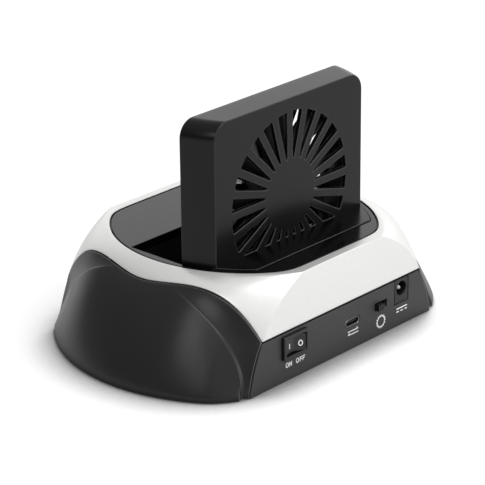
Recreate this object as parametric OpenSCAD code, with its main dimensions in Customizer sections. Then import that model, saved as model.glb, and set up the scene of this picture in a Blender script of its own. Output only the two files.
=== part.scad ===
// Hard drive docking station: an oval body with a drive slot and an upright fan tower behind the slot.
// Frame: millimetres, +Z up, origin on the table under the middle of the deck, rear panel towards +Y.

/* [Body] */
// Width of the footprint, side to side
foot_w = 173; // [160:1:190]
// Front-to-back length of the footprint oval before the panels cut it
foot_l = 164; // [150:1:180]
// How far the footprint oval lies behind the middle of the deck
foot_shift = 2.5; // [0:0.5:4]
// How far the footprint's rear corners are drawn in
foot_corner = 5; // [0:0.2:6]
// Depth of the body over the front and rear panels
body_d = 112; // [108:1:124]
// Wall of the shells
wall = 2; // [1.4:0.1:2.6]
// Seam between neighbouring shells
seam_gap = 0.4; // [0.3:0.05:0.6]

/* [Deck] */
// Height of the deck above the table
deck_z = 45; // [42:0.5:52]
// Width of the deck's rim beyond the ends of the drive slot
deck_rim = 3.7; // [3.2:0.1:6]
// Front-to-back length of the deck's oval before it is cut
deck_l = 116.2; // [112:0.2:124]
// Distance of the deck's straight edges inside the panels' faces
deck_setback = 5.6; // [4.6:0.1:8]
// Thickness of the deck's top plate
deck_t = 2.1; // [1.6:0.1:3]
// Thickness of the hidden lip under the deck
lip_t = 1.7; // [1.2:0.1:2.4]
// How far the hidden lip reaches under the shell
lip_w = 1.6; // [1:0.1:1.8]
// Width of the groove round the deck
groove_w = 0.8; // [0.5:0.1:1.2]
// Width of the shell's flat land beside the groove at mid side
land_w = 0.7; // [0.5:0.1:1.2]
// How much wider the land's oval becomes towards the front and the rear
land_grow = 2.3; // [1.6:0.1:3]
// How far the top of the shell's front and rear faces lies inside the panels' faces
face_lean = 0.6; // [0.4:0.1:1.2]
// Bulge of the shell from the land down to its lower edge: 0 is straight, 1 is a full round
shell_bulge = 0.34; // [0.2:0.02:0.6]

/* [Side caps] */
// How far the caps' top edge lies outside the deck at mid side
saddle_out = 8.8; // [8.2:0.2:12]
// How far the caps' top edge lies below the deck at mid side
saddle_drop = 5.3; // [4.4:0.1:6]
// Rise of the caps' top edge from mid side towards the panels
hump_rise = 24.2; // [18:0.2:28]
// How far the caps' crease, drawn out to mid side, lies below the deck
crease_drop = 3.2; // [2.4:0.1:4]
// How far the lower end of the caps' crease lies inside the panels' faces
crease_in = 1.9; // [0.8:0.1:2.4]
// Roundness of the caps' side at mid side: 1 is flat, 2 is a full ellipse
dome_n = 1.22; // [1.15:0.01:1.5]
// How much flatter the caps' side becomes towards the panels
dome_flat = 0.06; // [0:0.02:0.3]

/* [Panels] */
// Height of the panels' top edge above the table
panel_top_z = 22.4; // [22.2:0.2:26]
// Width of the panels at the top
panel_top_w = 102; // [98:1:106]
// Width of the panels at the bottom
panel_bot_w = 118; // [114:1:122]
// Outward bow of the panels' sides
panel_bow = 0.8; // [0:0.1:1.2]
// Thickness of the panels
panel_t = 2; // [1.5:0.1:2.4]

/* [Drive slot] */
// Length of the slot, for a 101.6 mm drive
slot_w = 103.2; // [102.4:0.1:103.8]
// Width of the slot, for a 26.1 mm drive
slot_d = 28.6; // [27:0.1:30]
// Wall of the drive well
well_wall = 1.4; // [1:0.1:1.5]
// Height of the well's floor above the board
well_lift = 4.8; // [4:0.1:7]

/* [Fan tower] */
// Height of the tower above the deck
tower_h = 61.9; // [61.5:0.1:70]
// Thickness of the tower, front to back
tower_t = 14.6; // [14.4:0.1:18]
// Place of the tower's rear face behind the middle of the deck
tower_y = 26.7; // [25:0.1:28]
// Corner radius of the tower's top
tower_r = 7.7; // [6:0.1:8]
// Distance of the tower's sides inside the deck's edge
tower_inset = 2.6; // [2.4:0.1:3]
// Depth of the flange behind the tower
flange_d = 13.6; // [11:0.1:14]
// Height of the flange above the deck
flange_rise = 0.5; // [0.2:0.1:1]
// Gap round the tower in the deck's opening
tower_gap = 0.25; // [0.2:0.05:0.4]
// Outer radius of the grille
grille_r = 36.2; // [34:0.1:37]
// Radius of the grille's hub
hub_r = 15.7; // [14:0.1:17]
// Number of radial gaps in the grille
gap_count = 24; // [18:1:28]
// Width of the grille's spokes
spoke_w = 3.5; // [2.5:0.1:3.7]
// Height of the fan's axis above the deck
fan_rise = 19.6; // [18:0.1:19.8]

/* [Fan] */
// Side of the fan's square frame
fan_size = 80; // [80:1:80]
// Thickness of the fan
fan_t = 10; // [9:0.1:10.1]
// Spacing of the fan's screw holes
fan_pitch = 71.5; // [70:0.5:72]
// Radius of the fan's air bore
fan_bore_r = 38; // [37.5:0.1:38.5]
// Radius over the blade tips
blade_r = 36.6; // [35:0.1:37]
// Radius of the rotor's hub
rotor_r = 16; // [14.5:0.1:17]
// Number of blades
blade_count = 9; // [7:1:11]
// Pitch of the blades in degrees
blade_pitch = 40; // [30:1:45]
// Radius of the fan's shaft
shaft_r = 1; // [0.8:0.05:1.5]
// Running clearance round shafts and pivots
run_fit = 0.04; // [0.03:0.01:0.08]

/* [Board] */
// Height of the board's top face above the table
board_z = 10.7; // [10:0.1:11]
// Thickness of the board
board_t = 1.6; // [1.2:0.1:2]
// Left edge of the board, seen from the front
board_x0 = -46; // [-48:0.5:-45]
// Right edge of the board, seen from the front
board_x1 = 19.5; // [17:0.5:20]
// Front edge of the board
board_y0 = -20; // [-24:0.5:-18]

/* [Connectors] */
// Place of the rocker switch along the panel
rocker_x = 31.7; // [31:0.1:34]
// Height of the rocker switch
rocker_z = 15.4; // [15.2:0.1:16]
// Width of the rocker's bezel
rocker_w = 15.2; // [14.6:0.1:16]
// Height of the rocker's bezel
rocker_h = 10.6; // [10.2:0.1:11]
// How far the bezel stands out of the panel
rocker_out = 1.65; // [1:0.05:2]
// Tilt of the rocker to each side in degrees
rocker_tilt = 10; // [6:0.5:11]
// Place of the data port along the panel
port_x = -6; // [-8:0.1:-4]
// Place of the fan speed switch along the panel
speed_x = -24.8; // [-25.4:0.1:-24]
// Travel of the fan speed switch
speed_travel = 3.8; // [3:0.1:4]
// Place of the power jack along the panel
jack_x = -38.7; // [-39:0.1:-38.4]

/* [Hidden] */
$fn = 64;
eps = 0.01;
// Clearance between pieces that lie side by side
clear = 0.2;
half_d = body_d / 2;

// Oval of the deck and what follows it
deck_rx = slot_w / 2 + deck_rim;
deck_ry = deck_l / 2;
deck_half_cut = half_d - deck_setback;
corner_power = 40;
// How far the hidden lip reaches past the deck's straight edges, inside the shell's steep ends
lip_end = min(lip_w, deck_setback - wall - 3.4);
oval_steps = 144;

// Heights through the body
tray_z = 0.6;
tray_band = 1.4;
tray_floor = 2;
tray_lip_h = 4;
tray_lip_t = 1.6;
foot_z = tray_z + tray_band + clear;
land_z = deck_z + clear;
deck_bottom = deck_z - deck_t - lip_t;
hang_t = 1.6;
hang_top = deck_bottom - clear;
hang_bottom = hang_top - hang_t;
board_bottom = board_z - board_t;
well_floor_t = 1.5;
well_floor = board_z + well_lift;

// Screws
screw_r = 1.4;
screw_gap = 0.1;
screw_head_r = 2.7;

// Tower and fan
tower_front = tower_y - tower_t;
flange_y = tower_y + flange_d;
fan_z = deck_z + fan_rise;
// The frame keeps material round its screws and the tower keeps room for the frame
frame_size = max(fan_size, fan_pitch + 2 * (screw_r + 2.2));
tower_top = max(deck_z + tower_h, fan_z + frame_size / 2 + clear + wall);
fan_y1 = tower_y - wall - clear;
fan_y0 = fan_y1 - fan_t;
skirt_z = fan_z - frame_size / 2 - clear;
grille_t = min(wall, fan_y0 - tower_front - clear);
slot_y0 = tower_front - slot_d;
slot_x = slot_w / 2;

// Places of the case posts, the board screws, the feet and the deck screws
post_r = 2.2;
post_floor = 6.4;
post_front = 20;
posts = [[-34, post_front - half_d], [34, post_front - half_d],
         [22.4, half_d - 10], [-31.4, half_d - 11.4]];
board_points = [[board_x0 + 4, board_y0 + 4], [board_x1 - 3.5, board_y0 + 4],
                [board_x1 - 3.5, half_d - 9], [board_x0 + 4, half_d - 24]];
feet_x = foot_w / 2 - 24;
feet = [[-feet_x, -30], [feet_x, -30], [-feet_x, 36], [feet_x, 36]];
foot_pad_r = 6;
foot_pad_sink = 0.8;
hang_tab_x = 17;
hang_tab_y = deck_half_cut - 1;
deck_screw_y = (flange_y + deck_half_cut) / 2;
well_screw_x = slot_x - 15;
well_screw_in = 5;
deck_screw_points = [[-well_screw_x, slot_y0 - well_screw_in], [well_screw_x, slot_y0 - well_screw_in],
                     [5 - hang_tab_x, deck_screw_y], [hang_tab_x - 5, deck_screw_y]];

// Point of the deck's oval in direction a, moved out by off: an ellipse and two straight edges,
// blended at the corners by a power mean of their distances
function oval_radius(a, off) =
    let (e = norm([cos(a) / (deck_rx + off), sin(a) / (deck_ry + off)]),
         s = abs(sin(a)) / (deck_half_cut + off))
    pow(pow(e, corner_power) + pow(s, corner_power), -1 / corner_power);
function oval_point(a, off) = oval_radius(a, off) * [cos(a), sin(a)];
function oval(off) = [for (i = [0 : oval_steps - 1]) oval_point(i * 360 / oval_steps, off)];
// Half width at y of the oval inside the deck's edge that the tower's sides follow
function tower_half(y) = (deck_rx - tower_inset) * sqrt(1 - pow(y / (deck_ry - tower_inset), 2));

// Edge between the shell and a cap at y, on the +X side: it runs in straight towards the panels,
// with a soft bend at mid side, and falls to the panels' top
edge_soft = 0.21;
edge_fall = 3.27;
function edge_w(y) = min(1, abs(y) / half_d);
function edge_x(y) =
    let (x0 = deck_rx + saddle_out, w = norm([edge_w(y), edge_soft]) - edge_soft)
    x0 - (x0 - panel_top_w / 2) * w / (norm([1, edge_soft]) - edge_soft);
function edge_z(y) =
    let (z0 = deck_z - saddle_drop, w = edge_w(y))
    z0 + hump_rise * w * w - (z0 + hump_rise - panel_top_z) * pow(w, edge_fall);
// Direction into the wall along that edge, shared by both sides of the seam
function edge_in(y) =
    let (w = edge_w(y), k = 0.7 * (1 - w * w))
    -unit([k, sign(y) * w * w, k]);
// Half width of a panel at height z
function panel_half(z) =
    let (t = max(0, min(1, z / panel_top_z)))
    panel_bot_w / 2 + (panel_top_w - panel_bot_w) / 2 * t + panel_bow * 4 * t * (1 - t);
// Half width of the footprint at y: an oval with its rear corners drawn in
corner_y = half_d - 12;
function foot_half(y, off) =
    (foot_w / 2 + off) * sqrt(1 - pow((y - foot_shift) / (foot_l / 2 + off), 2))
    - foot_corner * pow(max(0, (y - corner_y) / (half_d - 1 - corner_y)), 2);
// The caps' rounded side: half width at y and height z, and its outward direction
function dome_x(y, z) =
    let (n = dome_n - dome_flat * pow(edge_w(y), 2),
         t = max(0, min(0.9999, (z - foot_z) / (edge_z(y) - foot_z))))
    edge_x(y) + (foot_half(y, 0) - edge_x(y)) * pow(1 - pow(t, n), 1 / n);
function dome_normal(y, z) =
    let (h = 0.05)
    unit([1, (dome_x(y - h, z) - dome_x(y + h, z)) / (2 * h),
          (dome_x(y, z - h) - dome_x(y, z + h)) / (2 * h)]);

function unit(v) = v / norm(v);
function mix(a, b, t) = a + (b - a) * t;

// Triangles of a closed wall between an outer and an inner grid of the same size.
// Columns run round the piece and rows run down it; ring closes the last column on the first.
function wall_faces(cols, rows, ring) =
    let (n = cols * rows, last = ring ? cols - 1 : cols - 2)
    concat(
        [for (i = [0 : last], j = [0 : rows - 2], k = [0 : 3])
            let (a = i * rows + j, b = ((i + 1) % cols) * rows + j)
            [[a, b, a + 1], [b, b + 1, a + 1],
             [n + a, n + a + 1, n + b], [n + b, n + a + 1, n + b + 1]][k]],
        [for (i = [0 : last], j = [0, rows - 1], k = [0, 1])
            let (a = i * rows + j, b = ((i + 1) % cols) * rows + j)
            j == 0 ? [[a, n + a, b], [b, n + a, n + b]][k] : [[a, b, n + a], [b, n + b, n + a]][k]],
        ring ? [] :
        [for (i = [0, cols - 1], j = [0 : rows - 2], k = [0, 1])
            let (a = i * rows + j)
            i == 0 ? [[a, a + 1, n + a], [a + 1, n + a + 1, n + a]][k]
                   : [[a, n + a, a + 1], [a + 1, n + a, n + a + 1]][k]]);
// Outward direction of a grid at column i and row j
function grid_normal(grid, i, j, ring) =
    let (c = len(grid), r = len(grid[0]),
         i0 = ring ? (i + c - 1) % c : max(0, i - 1), i1 = ring ? (i + 1) % c : min(c - 1, i + 1),
         u = grid[i1][j] - grid[i0][j], v = grid[i][min(r - 1, j + 1)] - grid[i][max(0, j - 1)])
    unit(cross(v, u));
module wall_solid(outer, inner, ring) {
    cols = len(outer);
    rows = len(outer[0]);
    points = concat([for (c = outer) each c], [for (c = inner) each c]);
    polyhedron(points, wall_faces(cols, rows, ring));
}

// Upper shell: columns by direction round the deck, rows from the groove over the land to the lower edge
shell_rows = 7;
shell_side_cols = 14;
shell_rear_cols = 5;
land_rx = deck_rx + groove_w + land_w;
land_ry = deck_ry + groove_w + land_w + land_grow;
face_y = half_d - face_lean;
shell_corner = atan2(face_y, land_rx * sqrt(1 - pow(face_y / land_ry, 2)));
quarter = concat([for (i = [0 : shell_side_cols - 1]) shell_corner * i / shell_side_cols],
                 [for (i = [0 : shell_rear_cols - 1]) mix(shell_corner, 90, i / shell_rear_cols)]);
back_quarter = [for (i = [len(quarter) : -1 : 1]) i == len(quarter) ? 90 : quarter[i]];
shell_angles = concat(quarter, [for (a = back_quarter) 180 - a], [for (a = quarter) 180 + a],
                      [for (a = back_quarter) 360 - a]);
// Outer edge of the land in direction a: an oval cut straight at the front and the rear
function land_point(a) =
    min(1 / norm([cos(a) / land_rx, sin(a) / land_ry]), face_y / max(eps, abs(sin(a)))) * [cos(a), sin(a)];
function shell_lower(q) =
    let (c = land_point(shell_corner), y = half_d * max(-1, min(1, q[1] / c[1])))
    abs(q[0]) < c[0] - eps
        ? [q[0] / c[0] * panel_top_w / 2, sign(q[1]) * half_d, panel_top_z + seam_gap / 2]
        : [sign(q[0]) * (edge_x(y) - seam_gap / 2), y, edge_z(y) + seam_gap / 2];
function shell_column(a) =
    let (p = oval_point(a, groove_w), l = land_point(a), q = [l[0], l[1], land_z], e = shell_lower(l),
         k = mix((q + e) / 2, [e[0], e[1], land_z], shell_bulge))
    concat([[p[0], p[1], land_z]],
           [for (j = [0 : shell_rows]) let (s = j / shell_rows) mix(mix(q, k, s), mix(k, e, s), s)]);
function shell_inner(grid, i) =
    let (p = grid[i][0], q = grid[i][1], e = grid[i][shell_rows + 1], rear = abs(e[1]) > half_d - eps,
         d = edge_in(e[1]), m = unit([0, 0, 1] + grid_normal(grid, i, 2, true)))
    concat([p - [0, 0, wall], q - wall * m / m[2]],
           [for (j = [2 : shell_rows]) grid[i][j] - wall * grid_normal(grid, i, j, true)],
           [rear ? e - [0, sign(e[1]) * wall, 0] : e + wall * [sign(e[0]) * d[0], d[1], d[2]]]);

// Side cap on the +X side: columns run from the front panel to the rear panel along the body,
// rows from the seam with the shell over the flat facet to the crease, then down the rounded side
facet_rows = 3;
dome_rows = 8;
cap_lip = 0.7;
crease_end = 0.4;
merge_v = 0.16;
crease_z = deck_z - crease_drop;
panel_v = acos((panel_top_z - foot_z - crease_end) / (crease_z - foot_z - crease_end)) / 90;
cap_half = concat([for (i = [1 : 4]) merge_v * i / 4],
                  [for (i = [1 : 9]) mix(merge_v, panel_v, i / 9)],
                  [for (i = [1 : 5]) mix(panel_v, 1, i / 5)]);
cap_v = concat([for (i = [len(cap_half) - 1 : -1 : 0]) -cap_half[i]], [0], cap_half);
crease_d = half_d - crease_in;
function crease_y(v) = crease_d * sin(90 * v);
function crease_height(v) =
    let (z = foot_z + crease_end + (crease_z - foot_z - crease_end) * cos(90 * v))
    min(z, edge_z(crease_y(v)) - cap_lip);
function cap_edge(v) =
    let (m = crease_y(merge_v), p = crease_y(panel_v), y = abs(crease_y(v)),
         ye = y < m ? y : mix(m, half_d, min(1, (y - m) / (p - m))),
         zk = crease_height(1),
         zp = mix(foot_z, panel_top_z, (crease_height(v) - zk) / (crease_height(panel_v) - zk)))
    abs(v) > panel_v + eps / 10
        ? [panel_half(zp) + seam_gap / 2, sign(v) * half_d, zp]
        : [edge_x(ye) + seam_gap / 2, sign(v) * ye, edge_z(ye) - seam_gap / 2];
function cap_column(v) =
    let (y = crease_y(v), z = crease_height(v), e = cap_edge(v), k = [dome_x(y, z), y, z])
    concat([for (j = [0 : facet_rows]) mix(e, k, j / facet_rows)],
           [for (j = [1 : dome_rows])
               let (zz = mix(z, foot_z, pow(j / dome_rows, 1.3)))
               [dome_x(y, zz), y, zz]]);
function cap_inner(grid, i) =
    let (e = grid[i][0], k = grid[i][facet_rows], f = grid[i][facet_rows + dome_rows],
         n = dome_normal(f[1], f[2] + 0.1),
         m = unit(grid_normal(grid, i, facet_rows - 1, false) + dome_normal(k[1], k[2])),
         d = abs(cap_v[i]) > panel_v - eps / 10 ? [0, -sign(e[1]), 0] : edge_in(e[1]))
    concat([e + wall * d],
           [for (j = [1 : facet_rows - 1]) above(grid[i][j] - wall * grid_normal(grid, i, j, false), j)],
           [above(k - wall * m, facet_rows)],
           [for (j = [1 : dome_rows - 1])
               let (g = grid[i][facet_rows + j])
               above(g - wall * dome_normal(g[1], g[2]), facet_rows + j)],
           [f - wall * unit([n[0], n[1], 0])]);
// Keeps a point of the inner wall above the caps' lower edge, each row a little above the next
function above(p, row) = [p[0], p[1], max(p[2], foot_z + 0.02 * (facet_rows + dome_rows - row))];
module side_cap() {
    outer = [for (v = cap_v) cap_column(v)];
    inner = [for (i = [0 : len(cap_v) - 1]) cap_inner(outer, i)];
    wall_solid(outer, inner, false);
}

// Outline of the footprint, moved out by off and cut straight at front and rear
foot_steps = 40;
module foot_outline(off, cut) {
    right = [for (i = [0 : foot_steps])
        let (y = cut * sin(-90 + 180 * i / foot_steps)) [foot_half(y, off), y]];
    left = [for (i = [foot_steps : -1 : 0]) [-right[i][0], right[i][1]]];
    polygon(concat(right, left));
}
// Outline that stays inside the caps' wall by in at the height of the tray's lip
module lip_outline(in, cut) {
    z = tray_top + tray_lip_h;
    right = [for (i = [0 : foot_steps])
        let (y = cut * sin(-90 + 180 * i / foot_steps)) [dome_x(y, z) - in / dome_normal(y, z)[0], y]];
    left = [for (i = [foot_steps : -1 : 0]) [-right[i][0], right[i][1]]];
    polygon(concat(right, left));
}
module at_each(points) {
    for (p = points) translate([p[0], p[1], 0]) children();
}

tray_cut = half_d - panel_t - 0.3;
tray_top = tray_z + tray_floor;
tray_boss_r = 4.2;
standoff_r = 2.6;
head_h = 1.8;
module base_tray() {
    rebate = wall + 0.8;
    cut = tray_cut - 2 * wall;
    color("#2b2b2d") difference() {
        union() {
            translate([0, 0, tray_z]) linear_extrude(tray_band) foot_outline(-0.3, tray_cut);
            translate([0, 0, tray_z]) linear_extrude(tray_floor + tray_lip_h) difference() {
                lip_outline(rebate, cut);
                lip_outline(rebate + tray_lip_t, cut + 1);
            }
            translate([0, 0, tray_z]) linear_extrude(tray_floor) lip_outline(rebate, cut);
            at_each(posts) translate([0, 0, tray_z])
                cylinder(r = tray_boss_r, h = post_floor - clear - tray_z);
            at_each(board_points) translate([0, 0, tray_z])
                cylinder(r = standoff_r, h = board_bottom - tray_z);
        }
        at_each(posts) {
            translate([0, 0, -eps]) cylinder(r = screw_r + screw_gap, h = post_floor + 1);
            translate([0, 0, -eps]) cylinder(r = screw_head_r + clear, h = tray_top);
        }
        at_each(board_points) translate([0, 0, tray_top + 1])
            cylinder(r = board_screw_r + screw_gap, h = board_z);
        at_each(feet) cylinder(r = foot_pad_r + screw_gap, h = tray_z + foot_pad_sink);
    }
}

module rubber_feet() {
    bevel = 0.5;
    color("#1c1c1c") at_each(feet) {
        cylinder(r1 = foot_pad_r - bevel, r2 = foot_pad_r, h = bevel);
        translate([0, 0, bevel]) cylinder(r = foot_pad_r, h = tray_z + foot_pad_sink - bevel);
    }
}

case_screw_len = 10;
module case_screws() {
    color("#9a9a9c") at_each(posts) difference() {
        union() {
            translate([0, 0, tray_top - head_h]) cylinder(r = screw_head_r, h = head_h - clear / 2);
            translate([0, 0, tray_top - head_h]) cylinder(r = screw_r, h = head_h + case_screw_len);
        }
        translate([0, 0, tray_top - head_h - eps]) cross_recess(screw_head_r);
    }
}

// Cross-shaped driver recess in a screw head of radius r
recess_d = 0.8;
module cross_recess(r) {
    for (a = [0, 90]) rotate(a) translate([-r * 0.6, -r * 0.13, 0]) cube([r * 1.2, r * 0.26, recess_d]);
}

module top_shell() {
    outer = [for (a = shell_angles) shell_column(a)];
    inner = [for (i = [0 : len(shell_angles) - 1]) shell_inner(outer, i)];
    color("#d9d9d7") wall_solid(outer, inner, true);
}

module side_cap_left() {
    color("#2e2e2f") mirror([1, 0, 0]) side_cap();
}

module side_cap_right() {
    color("#2e2e2f") side_cap();
}

// Outline of a panel in X and Z
panel_steps = 8;
panel_z0 = tray_z + 0.3;
module panel_outline() {
    z1 = panel_top_z - seam_gap / 2;
    right = [for (i = [0 : panel_steps])
        let (z = mix(panel_z0, z1, i / panel_steps)) [panel_half(z) - seam_gap / 2, z]];
    left = [for (i = [panel_steps : -1 : 0]) [-right[i][0], right[i][1]]];
    polygon(concat(right, left));
}
// Lays a shape drawn in X and Z against a plane at y, growing towards -Y by t
module plate(y, t) {
    translate([0, y, 0]) rotate([90, 0, 0]) linear_extrude(t) children();
}

port_w = 8.94;
port_h = 3.26;
port_gap = 0.35;
port_z = board_z + clear / 2 + port_h / 2;
jack_w = 9;
jack_h = 11;
jack_len = 14.2;
jack_gap = 0.3;
speed_z = board_z + 3.2;
knob_w = 3.6;
knob_h = 2.9;
speed_slot_gap = 0.3;
rocker_wall = 0.6;
rocker_body_w = rocker_w - 2;
rocker_body_h = rocker_h - 1.9;
module slot_outline(w, h) {
    hull() for (s = [-1, 1]) translate([s * (w - h) / 2, 0]) circle(d = h, $fn = 32);
}

module speed_slot() {
    square([knob_w + speed_travel + 2 * speed_slot_gap, knob_h + 2 * speed_slot_gap], center = true);
}

module rear_panel() {
    color("#454546") plate(half_d, panel_t) difference() {
        panel_outline();
        translate([rocker_x, rocker_z]) square([rocker_body_w + 0.3, rocker_body_h + 0.3], center = true);
        translate([port_x, port_z]) slot_outline(port_w + 2 * port_gap, port_h + 2 * port_gap);
        translate([speed_x, speed_z])
            speed_slot();
        translate([jack_x - jack_w / 2 - jack_gap, board_z - jack_gap])
            square([jack_w + 2 * jack_gap, panel_top_z]);
    }
}

lamp_r = 1.4;
lamp_x = -13;
lamp_out = 0.5;
lamp_z = board_z + 1.6;
module front_panel() {
    color("#454546") difference() {
        plate(panel_t - half_d, panel_t) panel_outline();
        translate([lamp_x, -half_d - eps, lamp_z]) rotate([-90, 0, 0])
            cylinder(r = lamp_r + 0.1, h = panel_t + 1);
    }
}

// Opening of the deck: the drive slot, then the tower and its flange, grown by gap
module deck_opening(gap) {
    translate([-slot_x, slot_y0]) square([slot_w, slot_d + tower_gap]);
    tower_plan(gap, tower_front, flange_y);
}
// Plan of what follows the tower's sides between two places along Y, grown by gap
tower_steps = 16;
module tower_plan(gap, y0, y1) {
    right = [for (i = [0 : tower_steps]) let (y = mix(y0, y1, i / tower_steps)) [tower_half(y) + gap, y]];
    left = [for (i = [tower_steps : -1 : 0]) [-right[i][0], right[i][1]]];
    translate([0, gap]) polygon(concat(right, left));
}

module deck_plate() {
    color("#161617") difference() {
        union() {
            translate([0, 0, deck_bottom + lip_t]) linear_extrude(deck_t) polygon(oval(0));
            translate([0, 0, deck_bottom]) linear_extrude(lip_t) intersection() {
                polygon(oval(lip_w));
                square([4 * deck_rx, 2 * (deck_half_cut + lip_end)], center = true);
            }
            at_each(posts) translate([0, 0, post_floor])
                cylinder(r = post_r, h = deck_z - 1 - post_floor);
        }
        translate([0, 0, deck_bottom - 1]) linear_extrude(deck_z) deck_opening(tower_gap);
        at_each(posts) translate([0, 0, post_floor - eps])
            cylinder(r = screw_r + screw_gap / 2, h = case_screw_len);
        at_each(deck_screw_points) translate([0, 0, deck_bottom - eps])
            cylinder(r = deck_screw_r + screw_gap / 2, h = deck_screw_len);
    }
}

deck_screw_r = 1.1;
deck_screw_head = 2.1;
deck_screw_len = 2.8;
module deck_screws() {
    color("#9a9a9c") at_each(deck_screw_points) difference() {
        union() {
            translate([0, 0, hang_bottom - head_h + 0.3])
                cylinder(r = deck_screw_head, h = head_h - 0.3 - clear / 4);
            translate([0, 0, hang_bottom - clear])
                cylinder(r = deck_screw_r, h = hang_t + 2 * clear + deck_screw_len - 0.3);
        }
        translate([0, 0, hang_bottom - head_h + 0.3 - eps]) cross_recess(deck_screw_head);
    }
}

well_tab = 8;
sata_x = -18;
sata_y = tower_front - 5.2;
sata_w = 38;
sata_d = 6.6;
module drive_well() {
    x = slot_x + well_wall;
    y0 = slot_y0 - well_wall;
    y1 = tower_front - clear;
    rear_top = skirt_z - clear;
    color("#141414") difference() {
        union() {
            translate([-x, y0, well_floor - well_floor_t])
                cube([2 * x, y1 - y0, hang_top - well_floor + well_floor_t]);
            translate([-x - 2, y0 - well_tab + 2, hang_bottom])
                cube([2 * x + 4, y1 - y0 + well_tab - 2, hang_t]);
        }
        translate([-slot_x, slot_y0, well_floor]) cube([slot_w, y1 - slot_y0 - well_wall, deck_z]);
        translate([-slot_x, slot_y0, rear_top]) cube([slot_w, slot_d + 1, deck_z]);
        translate([sata_x - sata_w / 2 - clear, sata_y - sata_d / 2 - clear, board_z])
            cube([sata_w + 2 * clear, sata_d + 2 * clear, well_lift + 1]);
        at_each(deck_screw_points) translate([0, 0, hang_bottom - 1])
            cylinder(r = deck_screw_r + clear, h = hang_t + 2);
    }
}

// Upright outline of the tower at y, shrunk by in: straight sides and a top with rounded corners
corner_steps = 8;
function tower_outline(y, in, z0) =
    let (w = tower_half(y) - in, z1 = tower_top - in, r = tower_r - in,
         right = [for (k = [0 : corner_steps])
             let (a = 90 * k / corner_steps) [w - r + r * cos(a), z1 - r + r * sin(a)]])
    concat([[w, z0]], right, [for (k = [corner_steps : -1 : 0]) [-right[k][0], right[k][1]]], [[-w, z0]]);
// Point i of each outline, stood up at the outline's own place along Y
function stand(outlines, places, i) =
    [for (j = [0 : len(places) - 1]) [outlines[j][i][0], places[j], outlines[j][i][1]]];
// Sides and top of the tower as one bent wall, its sides following the deck's oval
tower_slices = 4;
module tower_wall() {
    places = [for (j = [0 : tower_slices]) mix(tower_front, tower_y, j / tower_slices)];
    outer = [for (y = places) tower_outline(y, 0, skirt_z)];
    inner = [for (y = places) tower_outline(y, wall, skirt_z)];
    cols = len(outer[0]);
    wall_solid([for (i = [0 : cols - 1]) stand(outer, places, i)],
               [for (i = [0 : cols - 1]) stand(inner, places, i)], false);
}

// One radial gap of a grille: parallel spokes leave a wedge with a blunt inner end
module grille_gaps(r0, r1) {
    inner_half = max(0.35, r0 * tan(180 / gap_count) - spoke_w / 2);
    outer_half = r1 * sin(180 / gap_count) - spoke_w / 2;
    arc = asin(outer_half / r1);
    for (i = [0 : gap_count - 1]) rotate((i + 0.5) * 360 / gap_count)
        polygon(concat([[r0, inner_half], [r0, -inner_half]],
                       [for (k = [-2 : 2]) r1 * [cos(arc * k / 2), sin(arc * k / 2)]]));
}

// The cover's rear face, its edges held in the bent wall, and the flange that hangs it under the deck
module fan_cover() {
    hold = wall / 2;
    color("#1b1b1c") union() {
        tower_wall();
        plate(tower_y, wall) difference() {
            polygon(tower_outline(tower_y, hold, skirt_z + eps));
            intersection() {
                translate([0, fan_z]) grille_gaps(hub_r, grille_r);
                union() {
                    translate([-frame_size, deck_z + flange_rise]) square(2 * frame_size);
                    translate([-frame_size, 0]) square([2 * frame_size, hang_bottom]);
                }
            }
        }
        translate([0, 0, hang_bottom]) linear_extrude(deck_z + flange_rise - hang_bottom)
            tower_plan(0, tower_y - wall / 2, flange_y);
        translate([0, 0, hang_bottom]) linear_extrude(hang_t) difference() {
            union() {
                tower_plan(tower_inset + lip_w - 1.2, tower_front + 1, flange_y - 2);
                translate([-hang_tab_x, tower_y]) square([2 * hang_tab_x, hang_tab_y - tower_y]);
            }
            tower_plan(-hold, tower_front - hold, tower_y);
            for (p = deck_screw_points) translate(p) circle(r = deck_screw_r + clear);
        }
    }
}
// Places of the fan's four screw holes, with the local origin on the fan's axis plane
module fan_holes() {
    for (sx = [-1, 1], sz = [-1, 1])
        translate([sx * fan_pitch / 2, 0, fan_z + sz * fan_pitch / 2]) children();
}

fan_head_t = 1.2;
module fan_front_grille() {
    color("#1b1b1c") difference() {
        plate(tower_front + grille_t, grille_t) difference() {
            polygon(tower_outline(tower_front + grille_t, wall + clear, skirt_z + clear));
            translate([0, fan_z]) grille_gaps(hub_r, grille_r);
        }
        fan_holes() {
            translate([0, tower_front - 1, 0]) rotate([-90, 0, 0])
                cylinder(r = screw_r + screw_gap, h = grille_t + 2);
            translate([0, tower_front - 1, 0]) rotate([-90, 0, 0])
                cylinder(r = screw_head_r + screw_gap, h = fan_head_t + 1);
        }
    }
}

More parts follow.
